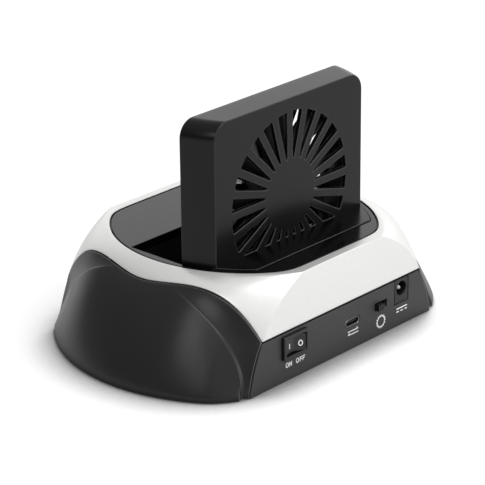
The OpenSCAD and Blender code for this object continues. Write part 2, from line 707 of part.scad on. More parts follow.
// Fan: frame with its bore and four struts on the front side, bushing and stator on the struts' hub
fan_corner = 5;
strut_t = 1.8;
strut_w = 3;
motor_r = rotor_r - 0.6;
rotor_wall = 1.4;
rotor_y0 = fan_y0 + strut_t + 0.6;
rotor_y1 = fan_y1 - 0.6;
bush_r = 2.6;
bush_y1 = rotor_y1 - rotor_wall - 0.5;
module fan_axis(y) {
    translate([0, y, fan_z]) rotate([-90, 0, 0]) children();
}
module fan_frame() {
    s = frame_size / 2 - fan_corner;
    color("#202021") difference() {
        union() {
            difference() {
                plate(fan_y1, fan_t) translate([0, fan_z]) difference() {
                    union() {
                        square([frame_size, frame_size - 2 * fan_corner], center = true);
                        square([frame_size - 2 * fan_corner, frame_size], center = true);
                        for (x = [-s, s], z = [-s, s]) translate([x, z]) circle(r = fan_corner);
                    }
                    circle(r = fan_bore_r, $fn = 96);
                }
                fan_holes() translate([0, fan_y0 - 1, 0]) rotate([-90, 0, 0])
                    cylinder(r = screw_r + screw_gap / 2, h = fan_t + 2);
            }
            fan_axis(fan_y0) cylinder(r = motor_r, h = strut_t);
            for (a = [45 : 90 : 315]) fan_axis(fan_y0) rotate(a) translate([bush_r + 2, -strut_w / 2, 0])
                cube([fan_bore_r - bush_r - 1, strut_w, strut_t]);
        }
        fan_axis(fan_y0 - eps) cylinder(r = bush_r + screw_gap / 2, h = strut_t + 1);
    }
}

module fan_bushing() {
    color("#b08d57") difference() {
        fan_axis(fan_y0) cylinder(r = bush_r, h = bush_y1 - fan_y0);
        fan_axis(fan_y0 + 1) cylinder(r = shaft_r + run_fit, h = fan_t);
    }
}

// Stator: four wound poles round the bushing, standing on a round circuit board
module fan_stator() {
    y0 = fan_y0 + strut_t;
    r = rotor_r - rotor_wall - 1.2;
    color("#8a5a2b") difference() {
        union() {
            fan_axis(y0) cylinder(r = r, h = 0.5);
            for (a = [0 : 90 : 270]) fan_axis(y0) rotate(a) intersection() {
                cylinder(r = r, h = bush_y1 - y0 - 0.4);
                translate([bush_r, -r / 2.4, 0]) cube([r, r / 1.2, bush_y1 - y0 - 0.4]);
            }
        }
        fan_axis(y0 - eps) cylinder(r = bush_r + screw_gap / 2, h = fan_t);
    }
}

module fan_screws() {
    head_y = tower_front + 0.2;
    color("#9a9a9c") fan_holes() {
        translate([0, head_y, 0]) rotate([-90, 0, 0]) cylinder(r = screw_head_r, h = fan_head_t - 0.25);
        translate([0, head_y, 0]) rotate([-90, 0, 0]) cylinder(r = screw_r, h = fan_y1 - 1 - head_y);
    }
}

blade_t = 1;
module fan_rotor() {
    h = rotor_y1 - rotor_y0;
    color("#191919") {
        difference() {
            union() {
                fan_axis(rotor_y0) cylinder(r = rotor_r, h = h);
                for (i = [0 : blade_count - 1]) intersection() {
                    fan_axis(rotor_y0) cylinder(r = blade_r, h = h);
                    fan_axis(rotor_y0 + h / 2) rotate(i * 360 / blade_count) rotate([blade_pitch, 0, 0])
                        translate([rotor_r - rotor_wall / 2, -fan_t, -blade_t / 2])
                            cube([blade_r, 2 * fan_t, blade_t]);
                }
            }
            fan_axis(rotor_y0 - eps) cylinder(r = rotor_r - rotor_wall, h = h - rotor_wall);
            fan_axis(rotor_y0) cylinder(r = shaft_r + run_fit / 2, h = h - rotor_wall / 2);
        }
    }
}

module fan_shaft() {
    color("#c8c8ca") fan_axis(fan_y0 + 1.3)
        cylinder(r = shaft_r, h = rotor_y1 - rotor_wall / 2 - fan_y0 - 1.4);
}

// Round lead swept along a list of points, with eight sides
lead_r = 0.9;
lead_sides = 8;
function lead_dir(path, i) = unit(path[min(len(path) - 1, i + 1)] - path[max(0, i - 1)]);
function lead_ring(path, i) =
    let (d = lead_dir(path, i), side = abs(d[0]) < 0.8 ? [1, 0, 0] : [0, 1, 0],
         u = unit(cross(d, side)), v = cross(d, u))
    [for (k = [0 : lead_sides - 1])
        let (a = k * 360 / lead_sides) path[i] + lead_r * (cos(a) * u + sin(a) * v)];
module lead(path) {
    n = len(path);
    m = lead_sides;
    sides = [for (i = [0 : n - 2], k = [0 : m - 1], t = [0, 1])
        let (a = i * m + k, b = i * m + (k + 1) % m)
        t == 0 ? [a, b, a + m] : [b, b + m, a + m]];
    caps = [for (k = [1 : m - 2], t = [0, 1])
        let (e = (n - 1) * m)
        t == 0 ? [0, k + 1, k] : [e, e + k, e + k + 1]];
    polyhedron([for (i = [0 : n - 1]) each lead_ring(path, i)], concat(sides, caps));
}

header_x = 8;
header_y = fan_y0 + 9.5;
header_w = 6;
header_d = 5;
header_h = 6;
module fan_lead() {
    x1 = header_x + header_w / 2 + clear / 2;
    z1 = board_z + header_h / 2;
    top = fan_z - frame_size / 2 - clear;
    y0 = fan_y0 + fan_t / 2;
    color("#3a3a3a")
        lead([[30, y0, top], [30, y0, top - 2.5], [29, y0 + 0.6, top - 5], [26, y0 + 1.8, top - 7.2],
                           [22, y0 + 3.2, z1 + 1.2], [18, header_y - 0.4, z1 + 0.2],
                           [x1 + 3, header_y, z1], [x1, header_y, z1]]);
}

module fan_header() {
    color("#e8e4d8") translate([header_x - header_w / 2, header_y - header_d / 2, board_z])
        cube([header_w, header_d, header_h]);
}

board_y1 = half_d - panel_t - 0.6;
board_screw_r = 1.2;
board_screw_head = 2.2;
module main_board() {
    color("#1f5a34") difference() {
        translate([board_x0, board_y0, board_bottom])
            cube([board_x1 - board_x0, board_y1 - board_y0, board_t]);
        at_each(posts) translate([0, 0, board_bottom - 1]) cylinder(r = post_r + 0.6, h = board_t + 2);
        at_each(board_points) translate([0, 0, board_bottom - 1])
            cylinder(r = board_screw_r + clear, h = board_t + 2);
    }
}

board_screw_len = 6;
board_head_h = 1.4;
module board_screws() {
    color("#9a9a9c") at_each(board_points) difference() {
        union() {
            translate([0, 0, board_z]) cylinder(r = board_screw_head, h = board_head_h);
            translate([0, 0, board_z - board_screw_len])
                cylinder(r = board_screw_r, h = board_screw_len + board_head_h / 2);
        }
        translate([0, 0, board_z + board_head_h - recess_d + eps]) cross_recess(board_screw_head);
    }
}

// Drive socket: a housing with a short data slot and a long power slot, and their contacts
sata_h = 13.2;
sata_slot_d = 2.6;
sata_pitch = 1.27;
data_pins = 7;
power_pins = 15;
data_w = (data_pins + 1) * sata_pitch;
power_w = (power_pins + 1) * sata_pitch;
sata_rib = 2;
sata_x0 = sata_x - (data_w + sata_rib + power_w) / 2;
sata_sink = 6.5;
module sata_socket() {
    color("#101010") difference() {
        translate([sata_x - sata_w / 2, sata_y - sata_d / 2, board_z]) cube([sata_w, sata_d, sata_h]);
        for (s = [[sata_x0, data_w], [sata_x0 + data_w + sata_rib, power_w]])
            translate([s[0], sata_y - sata_slot_d / 2, board_z + sata_h - sata_sink])
                cube([s[1], sata_slot_d, sata_sink + 1]);
    }
}

module sata_contacts() {
    pin_w = 0.7;
    pin_t = 0.35;
    y = sata_y + sata_slot_d / 2 - pin_t - 0.02;
    starts = concat([for (i = [1 : data_pins]) sata_x0 + i * sata_pitch],
                    [for (i = [1 : power_pins]) sata_x0 + data_w + sata_rib + i * sata_pitch]);
    color("#c9a227") for (x = starts)
        translate([x - pin_w / 2, y, board_z + sata_h - sata_sink + 0.02])
            cube([pin_w, pin_t, sata_sink - 1]);
}

module bridge_chip() {
    color("#1a1a1a") translate([-4, 12, board_z]) cube([9, 9, 1]);
}

cap_can_r = 3;
cap_can_h = 8.5;
cap_cans = [[-40, half_d - 34], [-32, half_d - 34]];
module capacitors() {
    color("#39415c") at_each(cap_cans) translate([0, 0, board_z]) cylinder(r = cap_can_r, h = cap_can_h);
}

module inductors() {
    side = 6;
    color("#4a4a4a") for (x = [-24, -15]) translate([x, 33, board_z]) {
        cube([side, side, 1.2]);
        translate([side / 2, side / 2, 1]) cylinder(r = side / 2 - 0.2, h = 2);
    }
}

module crystal() {
    color("#b8b8ba") translate([9, 15, board_z]) slot_block(5, 2.4, 1.6);
}
module slot_block(l, w, h) {
    translate([w / 2, -w / 2, 0]) cube([l - w, w, h]);
    for (x = [w / 2, l - w / 2]) translate([x, 0, 0]) cylinder(d = w, h = h);
}

// Data port: a thin rounded metal shell with a contact tongue inside
port_len = 7.4;
port_wall = 0.3;
port_y1 = half_d - clear;
module usb_shell() {
    color("#b5b5b7") translate([port_x, 0, port_z]) difference() {
        plate(port_y1, port_len) slot_outline(port_w, port_h);
        plate(port_y1 + 1, port_len) slot_outline(port_w - 2 * port_wall, port_h - 2 * port_wall);
    }
}

module usb_tongue() {
    tongue_w = 6.6;
    tongue_t = 0.7;
    color("#202020")
        translate([port_x - tongue_w / 2, port_y1 - port_len + 1 + 0.02, port_z - tongue_t / 2])
        cube([tongue_w, port_len - 2, tongue_t]);
}

// Power jack: a block with a round socket and a centre pin
jack_z = board_z + 6.5;
jack_hole_r = 3.2;
jack_hole_len = 9.5;
jack_pin_r = 1;
jack_y1 = half_d - 0.1;
module power_jack() {
    color("#3b3b3c") difference() {
        translate([jack_x - jack_w / 2, jack_y1 - jack_len, board_z]) cube([jack_w, jack_len, jack_h]);
        translate([jack_x, jack_y1 + 1, jack_z]) rotate([90, 0, 0])
            cylinder(r = jack_hole_r, h = jack_hole_len + 1);
        translate([jack_x, jack_y1, jack_z]) rotate([90, 0, 0])
            cylinder(r = jack_pin_r + 0.02, h = jack_hole_len + 3);
    }
}

module power_jack_pin() {
    pin_len = jack_hole_len + 1;
    color("#d0d0d2") translate([jack_x, jack_y1 - jack_hole_len - 2, jack_z]) rotate([-90, 0, 0]) {
        cylinder(r = jack_pin_r, h = pin_len - jack_pin_r / 2);
        translate([0, 0, pin_len - jack_pin_r / 2])
            cylinder(r1 = jack_pin_r, r2 = jack_pin_r / 2, h = jack_pin_r / 2);
    }
}

// Rocker switch: a bezel and body in one, and a button that rocks on its own pivot pins
rocker_len = 12;
rocker_pivot_y = half_d - 1.4;
rocker_pin_r = 0.9;
button_r = 6;
button_h = rocker_body_h - 2 * rocker_wall - 0.4;
module rocker_housing() {
    depth = 8;
    color("#0f0f10") translate([rocker_x, 0, rocker_z]) difference() {
        union() {
            plate(half_d + rocker_out, rocker_out) square([rocker_w, rocker_h], center = true);
            plate(half_d + eps, rocker_len) square([rocker_body_w, rocker_body_h], center = true);
        }
        plate(half_d + rocker_out + 1, rocker_out + depth + 1)
            square([2 * button_r + 0.4, rocker_body_h - 2 * rocker_wall], center = true);
        translate([0, rocker_pivot_y, -rocker_h]) cylinder(r = rocker_pin_r + run_fit, h = 2 * rocker_h);
    }
}

module rocker_button() {
    face = rocker_out + half_d - rocker_pivot_y;
    end = asin(face / button_r);
    dip = 1.1;
    back = 3.6;
    rear_end = asin(back / button_r);
    outline = concat([[0, face - dip]],
                     [for (k = [0 : 8]) let (a = mix(end, -rear_end, k / 8)) button_r * [cos(a), sin(a)]],
                     [for (k = [0 : 8])
                         let (a = mix(180 + rear_end, 180 - end, k / 8)) button_r * [cos(a), sin(a)]]);
    color("#141415") translate([rocker_x, rocker_pivot_y, rocker_z]) {
        rotate(-rocker_tilt) translate([0, 0, -button_h / 2]) linear_extrude(button_h) polygon(outline);
        translate([0, 0, -rocker_body_h / 2]) cylinder(r = rocker_pin_r, h = rocker_body_h);
    }
}

terminal_t = 0.8;
terminal_w = 4;
terminal_len = 6;
terminal_x = [rocker_x - 3.4, rocker_x + 3.4];
terminal_y = half_d - rocker_len - terminal_len;
module rocker_terminals() {
    color("#c8c8ca") for (x = terminal_x)
        translate([x - terminal_t / 2, terminal_y, rocker_z - terminal_w / 2])
            cube([terminal_t, terminal_len - 0.02, terminal_w]);
}

module switch_leads() {
    pad_x = board_x1 - 2.4;
    color("#7a1f1f") for (i = [0, 1])
        let (x = terminal_x[i], y = terminal_y - clear / 2,
             p = [pad_x, y - 3 - 2.4 * i, board_z + clear / 2])
        lead([[x, y, rocker_z], [x, y - 2, rocker_z], [x - 1.6, y - 2.8 - i, rocker_z + i],
              [x - 4.4 - i, p[1] - 0.4, rocker_z + i], [p[0] + 3, p[1], rocker_z - 0.4],
              [p[0] + 0.6, p[1], rocker_z - 2], [p[0], p[1], p[2] + 1.4], p]);
}

// Fan speed switch: a metal body behind the panel and a plastic knob that slides in the panel's slot
speed_body_w = knob_w + speed_travel + 3.6;
speed_body_h = 5.4;
speed_body_d = 4;
speed_y1 = half_d - panel_t - clear;
module speed_switch() {
    slot_depth = 1.8;
    color("#8d8d8f") difference() {
        translate([speed_x - speed_body_w / 2, speed_y1 - speed_body_d, board_z])
            cube([speed_body_w, speed_body_d, speed_body_h]);
        translate([speed_x, speed_y1 + 1, speed_z]) rotate([90, 0, 0]) linear_extrude(slot_depth + 1)
            speed_slot();
    }
}

module speed_knob() {
    out = 2;
    root = 1.4;
    groove = 0.35;
    y0 = speed_y1 - root;
    color("#0c0c0c") translate([speed_x + speed_travel / 2, 0, speed_z]) difference() {
        translate([-knob_w / 2, y0, -knob_h / 2]) cube([knob_w, half_d + out - y0, knob_h]);
        for (k = [-1 : 1]) translate([k * knob_w / 4 - groove / 2, half_d + out - groove, -knob_h])
            cube([groove, 1, 2 * knob_h]);
    }
}

// Activity lamp on the board and the clear rod that carries its light to the front panel
module indicator_lamp() {
    side = 2.4;
    color("#dfe6ee") translate([lamp_x - side / 2, board_y0 + 0.4, board_z]) cube([side, 2, side]);
}

module light_pipe() {
    len_y = half_d + board_y0 + 0.4 - clear;
    color("#cfd8dc") translate([lamp_x, -half_d - lamp_out, lamp_z]) rotate([-90, 0, 0])
        cylinder(r = lamp_r, h = len_y + lamp_out);
}

base_tray();
rubber_feet();
case_screws();
top_shell();
side_cap_left();
side_cap_right();
rear_panel();
front_panel();
deck_plate();
deck_screws();
drive_well();
fan_cover();
fan_front_grille();
fan_frame();
fan_bushing();
fan_stator();
fan_screws();
fan_rotor();
fan_shaft();
fan_lead();
fan_header();
main_board();
board_screws();
sata_socket();
sata_contacts();
bridge_chip();
capacitors();
inductors();
crystal();
usb_shell();
usb_tongue();
power_jack();
power_jack_pin();
rocker_housing();
rocker_button();
rocker_terminals();
switch_leads();
speed_switch();
speed_knob();
indicator_lamp();
light_pipe();
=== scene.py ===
"""Hard drive docking station: the visual model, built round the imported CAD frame."""

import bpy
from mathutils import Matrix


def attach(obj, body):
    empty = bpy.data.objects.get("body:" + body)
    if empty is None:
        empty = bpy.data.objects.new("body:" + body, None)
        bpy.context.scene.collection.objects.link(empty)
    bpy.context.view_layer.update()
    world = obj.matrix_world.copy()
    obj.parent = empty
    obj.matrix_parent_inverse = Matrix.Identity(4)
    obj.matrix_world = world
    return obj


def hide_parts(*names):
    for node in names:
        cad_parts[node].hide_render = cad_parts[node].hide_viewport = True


bl_info = {
    "name": "Hard drive docking station",
    "version": (1, 0, 0),
    "blender": (4, 5, 0),
    "location": "View3D > Sidebar > Dock",
    "description": "Builds the pieces, finishes and stage of an oval drive dock with a fan tower",
    "category": "Object",
}

from math import cos, pi, radians, sin

import bmesh
import bpy
import numpy as np
from bpy.props import FloatProperty, FloatVectorProperty, PointerProperty
from mathutils import Matrix, Vector
from mathutils.geometry import delaunay_2d_cdt

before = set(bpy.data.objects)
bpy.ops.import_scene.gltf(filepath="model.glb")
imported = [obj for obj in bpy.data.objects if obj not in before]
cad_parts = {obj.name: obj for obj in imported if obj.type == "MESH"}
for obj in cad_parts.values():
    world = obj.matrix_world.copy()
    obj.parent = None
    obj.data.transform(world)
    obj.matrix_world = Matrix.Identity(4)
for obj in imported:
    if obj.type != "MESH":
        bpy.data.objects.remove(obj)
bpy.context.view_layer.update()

# Sizes of the CAD model in millimetres, angles in degrees
MM = 0.001
HALF_D = 56.0
FOOT_W, FOOT_L, FOOT_SHIFT, FOOT_CORNER, FOOT_Z = 173.0, 164.0, 2.5, 5.0, 2.2
WALL, SEAM = 2.0, 0.4
DECK_Z, DECK_RX, DECK_RY, DECK_CUT, LAND_Z = 45.0, 55.3, 58.1, 50.4, 45.2
GROOVE, LIP, LIP_Z, DECK_BOTTOM = 0.8, 1.6, 42.9, 41.2
LAND_RX, LAND_RY, FACE_Y, SHELL_BULGE = 56.8, 61.9, 55.4, 0.34
SADDLE_X, SADDLE_Z, HUMP, EDGE_SOFT, EDGE_FALL = 64.1, 39.7, 24.2, 0.21, 3.27
PANEL_TOP, PANEL_TOP_HALF, PANEL_BOT_HALF, PANEL_BOW, PANEL_T = 22.4, 51.0, 59.0, 0.8, 2.0
CREASE_D, CREASE_TOP, CREASE_END, CAP_LIP, MERGE_V = 54.1, 41.8, 2.6, 0.7, 0.16
DOME_N, DOME_FLAT = 1.22, 0.06
SLOT_X, SLOT_Y0 = 51.6, -16.5
TOWER_Y0, TOWER_Y1, TOWER_TOP, TOWER_R = 12.1, 26.7, 106.9, 7.7
TOWER_RX, TOWER_RY, SKIRT_Z = 52.7, 55.5, 24.4
FLANGE_Y, FLANGE_Z, TOWER_GAP = 40.3, 45.5, 0.25
FAN_Z, GRILLE_R, HUB_R, GAPS, SPOKE = 64.6, 36.2, 15.7, 24, 3.5
SCREW_HALF, SCREW_R = 35.75, 2.8
ROTOR_Y0, ROTOR_Y1, ROTOR_R, BLADE_R, BLADES = 16.9, 23.9, 16.0, 36.6, 9
ROCKER_X, ROCKER_Z, ROCKER_OUT, PIVOT_Y, ROCKER_R = 31.7, 15.4, 1.65, 54.6, 6.0
ROCKER_FACE, ROCKER_TILT = ROCKER_OUT + HALF_D - PIVOT_Y, -10.0
PORT_X, PORT_Z, PORT_W, PORT_H, PORT_FRONT = -6.0, 12.43, 8.94, 3.26, 55.8
SPEED_X, SPEED_Z = -24.8, 13.9
JACK_X, JACK_Z, JACK_W, JACK_Z0, JACK_Z1, JACK_FRONT = -38.7, 17.2, 9.0, 10.7, 21.7, 55.9
LAMP_X, LAMP_Z, LAMP_R = -13.0, 12.3, 1.5

# Sizes that only the visual model has, in millimetres, and the angle from which an edge is drawn sharp
CORNER_Y, PANEL_Z0, PANEL_GAP, TRAY_INSET = 40.0, 0.25, 0.7, 1.0
RIM_IN, RIM_OUT, DRAW_IN, APRON_Z, APRON_T = 0.6, 0.77, 1.8, 0.15, 0.7
DISH, DISH_POWER = 1.5, 1.15
SHARP_ANGLE = 32


def hex_linear(code):
    """Linear red, green and blue of an sRGB hex colour."""
    part = np.array([int(code[i : i + 2], 16) for i in (1, 3, 5)]) / 255
    line = np.where(part <= 0.04045, part / 12.92, ((part + 0.055) / 1.055) ** 2.4)
    return tuple(float(c) for c in line)


def colour_prop(name, description, code):
    """A colour property whose default is an sRGB hex value."""
    return FloatVectorProperty(
        name=name, description=description, default=hex_linear(code), subtype="COLOR", size=3, min=0, max=1
    )


def length_prop(name, description, value):
    """A length property in millimetres."""
    return FloatProperty(name=name, description=description + ", in mm", default=value, min=0.01, max=5)


def level_prop(name, description, value):
    """A brightness property, where 1 is white."""
    return FloatProperty(name=name, description=description, default=value, min=0, max=2)


def power_prop(name, description, value):
    """A lamp's power property in watts."""
    return FloatProperty(name=name, description=description, default=value, min=0, max=50, unit="POWER")


class DockSizes(bpy.types.PropertyGroup):
    """Edge sizes that a user would change, in millimetres."""

    seam_round: length_prop("Seam rounding", "Radius of the shells' edges along the seams", 0.45)
    cap_round: length_prop("Cap rounding", "Radius of the side caps' edges below the shell", 0.6)
    cap_panel_round: length_prop("Cap rounding at panel", "Radius of the caps' edges beside the panels", 1.3)
    brink_round: length_prop("Brink rounding", "Radius of the outer edge of the shell's land", 0.5)
    crease_band: length_prop("Crease band", "Width of the band beside the caps' crease at the foot", 1.2)
    crease_depth: length_prop("Crease depth", "Depth of the caps' facet below the crease at the foot", 0.8)
    deck_round: length_prop("Deck rounding", "Radius of the deck's edges", 0.3)
    tower_round: length_prop("Tower rounding", "Radius of the tower's rear edge", 0.3)
    gap_round: length_prop("Gap rounding", "Radius of the edges of the grille's gaps", 0.3)
    panel_round: length_prop("Panel rounding", "Radius of the panels' edges", 0.35)
    print_height: length_prop("Print height", "Thickness of the printed marks", 0.06)


class DockColours(bpy.types.PropertyGroup):
    """Colours of the finishes."""

    shell: colour_prop("Shell", "Satin silver lacquer of the upper shell", "#E6E6E4")
    caps: colour_prop("Side caps", "Semi-gloss charcoal of the side caps", "#1B1B1C")
    panel: colour_prop("Panels", "Matte charcoal of the front and rear panels", "#2A2A2B")
    deck: colour_prop("Deck", "Gloss black of the deck", "#080809")
    tower: colour_prop("Tower", "Satin black of the fan tower", "#070707")
    inside: colour_prop("Inside", "Black of the drive well and the sockets", "#0B0B0C")
    fan: colour_prop("Fan", "Black of the fan", "#141415")
    switch: colour_prop("Switch", "Black of the rocker switch", "#0A0A0B")
    ink: colour_prop("Ink", "White of the printed marks", "#EDEDEB")
    tray: colour_prop("Tray", "Dark grey of the base tray", "#232324")


class DockStage(bpy.types.PropertyGroup):
    """Light and floor of the studio."""

    floor: colour_prop("Floor", "Colour of the floor", "#D0D0D0")
    wall: level_prop("Wall", "Brightness of the wall behind the dock", 1.3)
    room: level_prop("Room", "Brightness of the room behind the camera", 0.2)
    ceiling: level_prop("Ceiling", "Brightness of the ceiling", 0.62)
    top: power_prop("Top lamp", "Power of the lamp above", 6.0)
    right: power_prop("Right lamp", "Power of the lamp right of the camera", 2.9)
    edge: power_prop("Edge lamp", "Power of the low lamp far to the right", 2.3)
    left: power_prop("Left lamp", "Power of the lamp left of the camera", 1.4)


# Arrays and meshes


def join(*parts):
    """Points from their coordinates, each an array or one number for all points."""
    return np.stack(np.broadcast_arrays(*parts), -1)


def turns(n):
    """Angles of n equal steps of a full turn."""
    return np.arange(n) * 2 * pi / n


def gap(a, b):
    """Distances between points of two rows."""
    return np.linalg.norm(a - b, axis=-1)


def unit(v):
    """Vectors of length one along the last axis."""
    return v / np.maximum(np.linalg.norm(v, axis=-1, keepdims=True), 1e-12)


def strip_faces(rows, cols, first=0, close_rows=False, close_cols=False):
    """Quads between neighbouring rows and columns of points numbered row by row."""
    r, c = np.meshgrid(np.arange(rows - (not close_rows)), np.arange(cols - (not close_cols)), indexing="ij")
    r1, c1 = (r + 1) % rows, (c + 1) % cols
    quads = join(r * cols + c, r * cols + c1, r1 * cols + c1, r1 * cols + c)
    return quads.reshape(-1, 4) + first


def tube_faces(rows, cols):
    """Faces of a tube of rings, with a face across each end."""
    ring = np.arange(cols)
    return [strip_faces(rows, cols, close_cols=True), np.stack([ring, (rows - 1) * cols + ring[::-1]])]


def ring_solid(grid):
    """Points and faces of a closed profile carried round a closed path."""
    return grid.reshape(-1, 3), [strip_faces(*grid.shape[:2], close_rows=True, close_cols=True)]


def columns(*parts):
    """A grid from its columns, given one by one or several at a time."""
    return np.concatenate([p[:, None] if p.ndim == 2 else p for p in parts], 1)


def fill_faces(loops):
    """Triangles of the flat region between closed loops: a triangulation that keeps every loop edge,
    of which only triangles stay whose middle lies inside an odd number of loops."""
    points = np.concatenate(loops)
    starts = np.cumsum([0] + [len(loop) for loop in loops])
    after = np.concatenate([np.roll(np.arange(a, b), -1) for a, b in zip(starts[:-1], starts[1:])])
    edges = np.stack([np.arange(len(points)), after], 1)
    found = delaunay_2d_cdt([Vector(p) for p in points.tolist()], edges.tolist(), [], 0, 1e-6)
    if len(found[0]) != len(points):
        raise RuntimeError("the loops of a flat face touch or cross")
    source = np.array([ids[0] for ids in found[3]])
    tris = source[np.array(found[2])]
    mid = points[tris].mean(1)
    (x0, y0), (x1, y1) = points.T, points[after].T
    crosses = (y0 > mid[:, 1:]) != (y1 > mid[:, 1:])
    rise = np.where(np.abs(y1 - y0) < 1e-12, 1e-12, y1 - y0)
    left = mid[:, :1] < (x1 - x0) * (mid[:, 1:] - y0) / rise + x0
    return tris[(crosses & left).sum(1) % 2 == 1]


def stack_solid(stacks, plane, fills=None):
    """Points and faces of a solid whose walls are stacks of rings, each an array (rings, points, 3).
    fills lists the flat ends: the stacks that bound a face together, and which ring of theirs bounds it."""
    sizes = [s.shape[0] * s.shape[1] for s in stacks]
    firsts = np.cumsum([0] + sizes[:-1])
    every = list(range(len(stacks)))
    faces = [strip_faces(s.shape[0], s.shape[1], f, close_cols=True) for s, f in zip(stacks, firsts)]
    for members, ring in fills or [(every, 0), (every, -1)]:
        index = []
        for m in members:
            count, size = stacks[m].shape[:2]
            index.append(firsts[m] + ring % count * size + np.arange(size))
        faces.append(np.concatenate(index)[fill_faces([stacks[m][ring][:, plane] for m in members])])
    return np.concatenate([s.reshape(-1, 3) for s in stacks]), faces


def merge(parts):
    """Several pairs of points and faces as one."""
    firsts = np.cumsum([0] + [len(p) for p, _ in parts[:-1]])
    return np.concatenate([p for p, _ in parts]), [f + s for (_, fs), s in zip(parts, firsts) for f in fs]


def inset(loop, d):
    """A closed loop moved by d to its left, each corner along the mitre of its two edges."""
    before, after = loop - np.roll(loop, 1, -2), np.roll(loop, -1, -2) - loop
    na = unit(join(-before[..., 1], before[..., 0]))
    nb = unit(join(-after[..., 1], after[..., 0]))
    return loop + d * (na + nb) / (1 + (na * nb).sum(-1, keepdims=True))


def parabola(a, b, c, s):
    """Points at shares s of parabolas from a to c that leave and arrive along the lines to the corner b."""
    s = s[:, None]
    a, b, c = (p[..., None, :] for p in (a, b, c))
    return (1 - s) ** 2 * a + 2 * s * (1 - s) * b + s**2 * c


def round_corners(loop, r, steps=5):
    """A closed loop whose corners are swung over a reach r by parabolas from edge to edge."""
    to_a, to_b = np.roll(loop, 1, -2) - loop, np.roll(loop, -1, -2) - loop
    la, lb = (np.linalg.norm(v, axis=-1, keepdims=True) for v in (to_a, to_b))
    reach = np.minimum(r, 0.45 * np.minimum(la, lb))
    a, b = loop + to_a / la * reach, loop + to_b / lb * reach
    return parabola(a, loop, b, np.linspace(0, 1, steps)).reshape(loop.shape[:-2] + (-1, 2))


def box_loop(x, z, w, h, r):
    """A rectangle with rounded corners, anticlockwise."""
    corners = np.array([[-1, -1], [1, -1], [1, 1], [-1, 1]]) * [w / 2, h / 2]
    return round_corners(corners + [x, z], r)


def round_loop(x, z, r, n=48):
    """A circle, anticlockwise."""
    a = turns(n)
    return join(x + r * np.cos(a), z + r * np.sin(a))


def slot_loop(x, z, w, h, n=12):
    """A slot with half-round ends, anticlockwise."""
    a = np.linspace(-pi / 2, pi / 2, n)
    end = join((w - h) / 2 + h / 2 * np.cos(a), h / 2 * np.sin(a))
    return np.concatenate([end, -end]) + [x, z]


def edge_steps(r, steps=5):
    """Inset and drop along a quarter round of radius r, from the flat face over to the wall."""
    a = np.linspace(0, pi / 2, steps)
    return join(r * (1 - np.sin(a)), r * (1 - np.cos(a)))


def facing_y(loop, y):
    """A loop in X and Z stood up at y."""
    return join(loop[:, 0], y, loop[:, 1])


def facing_z(loop, z):
    """A loop in X and Y laid at height z."""
    return join(loop[:, 0], loop[:, 1], z)


def wall_stack(loop, y0, y1, r, stand=facing_y, steps=5, both=False):
    """Rings of a wall along a loop from the face at y0 to the face at y1, the first edge rounded by r,
    and the second too where both is set."""
    way = np.sign(y1 - y0)
    rings = [stand(inset(loop, d), y0 + way * h) for d, h in edge_steps(r, steps)]
    tail = [stand(loop, y1)]
    if both:
        tail = [stand(inset(loop, d), y1 - way * h) for d, h in edge_steps(r, steps)[::-1]]
    return np.stack(rings + tail)


def mirrored(right):
    """The right half of an outline followed by its mirror image in reverse order."""
    return np.concatenate([right, (right * [-1, 1])[::-1]])


def socket_solid(outer, inner):
    """A solid between an outer wall and the wall of a blind hole, both along Y from the same face."""
    return stack_solid([outer, inner], [0, 2], [([0, 1], 0), ([0], -1), ([1], -1)])


def lathe(profile, centre):
    """A closed profile of radius and Y turned about an axis along Y through centre, given as X and Z."""
    a = turns(96)[:, None]
    r, y = profile.T
    return ring_solid(join(centre[0] + r * np.cos(a), y, centre[1] + r * np.sin(a)))


def resample(lines, dist):
    """Points at given distances along many polylines at once: all lines are laid end to end in one
    long measure, so one linear interpolation serves them all."""
    steps = gap(lines[:, 1:], lines[:, :-1])
    run = np.concatenate([np.zeros((len(lines), 1)), np.cumsum(steps, 1)], 1)
    base = np.arange(len(lines))[:, None] * (run.max() + 1)
    at, known = (dist + base).ravel(), (run + base).ravel()
    flat = [np.interp(at, known, lines[..., k].ravel()) for k in range(3)]
    return np.stack(flat, -1).reshape(dist.shape + (3,))


def swing(a, b, c, steps):
    """Rows of a parabola from a over the corner b to c, without its two ends."""
    return parabola(a, b, c, np.linspace(0, 1, steps + 2)[1:-1])


def spread(start, end, steps):
    """Distances from start to end for every line, evenly spread."""
    return start[:, None] + (end - start)[:, None] * np.linspace(0, 1, steps)


def grid_normal(grid, ring):
    """Outward directions of a grid, from the cross product of its two neighbour differences."""
    along = np.roll(grid, -1, 0) - np.roll(grid, 1, 0) if ring else np.gradient(grid, axis=0)
    return unit(np.cross(np.gradient(grid, axis=1), along))


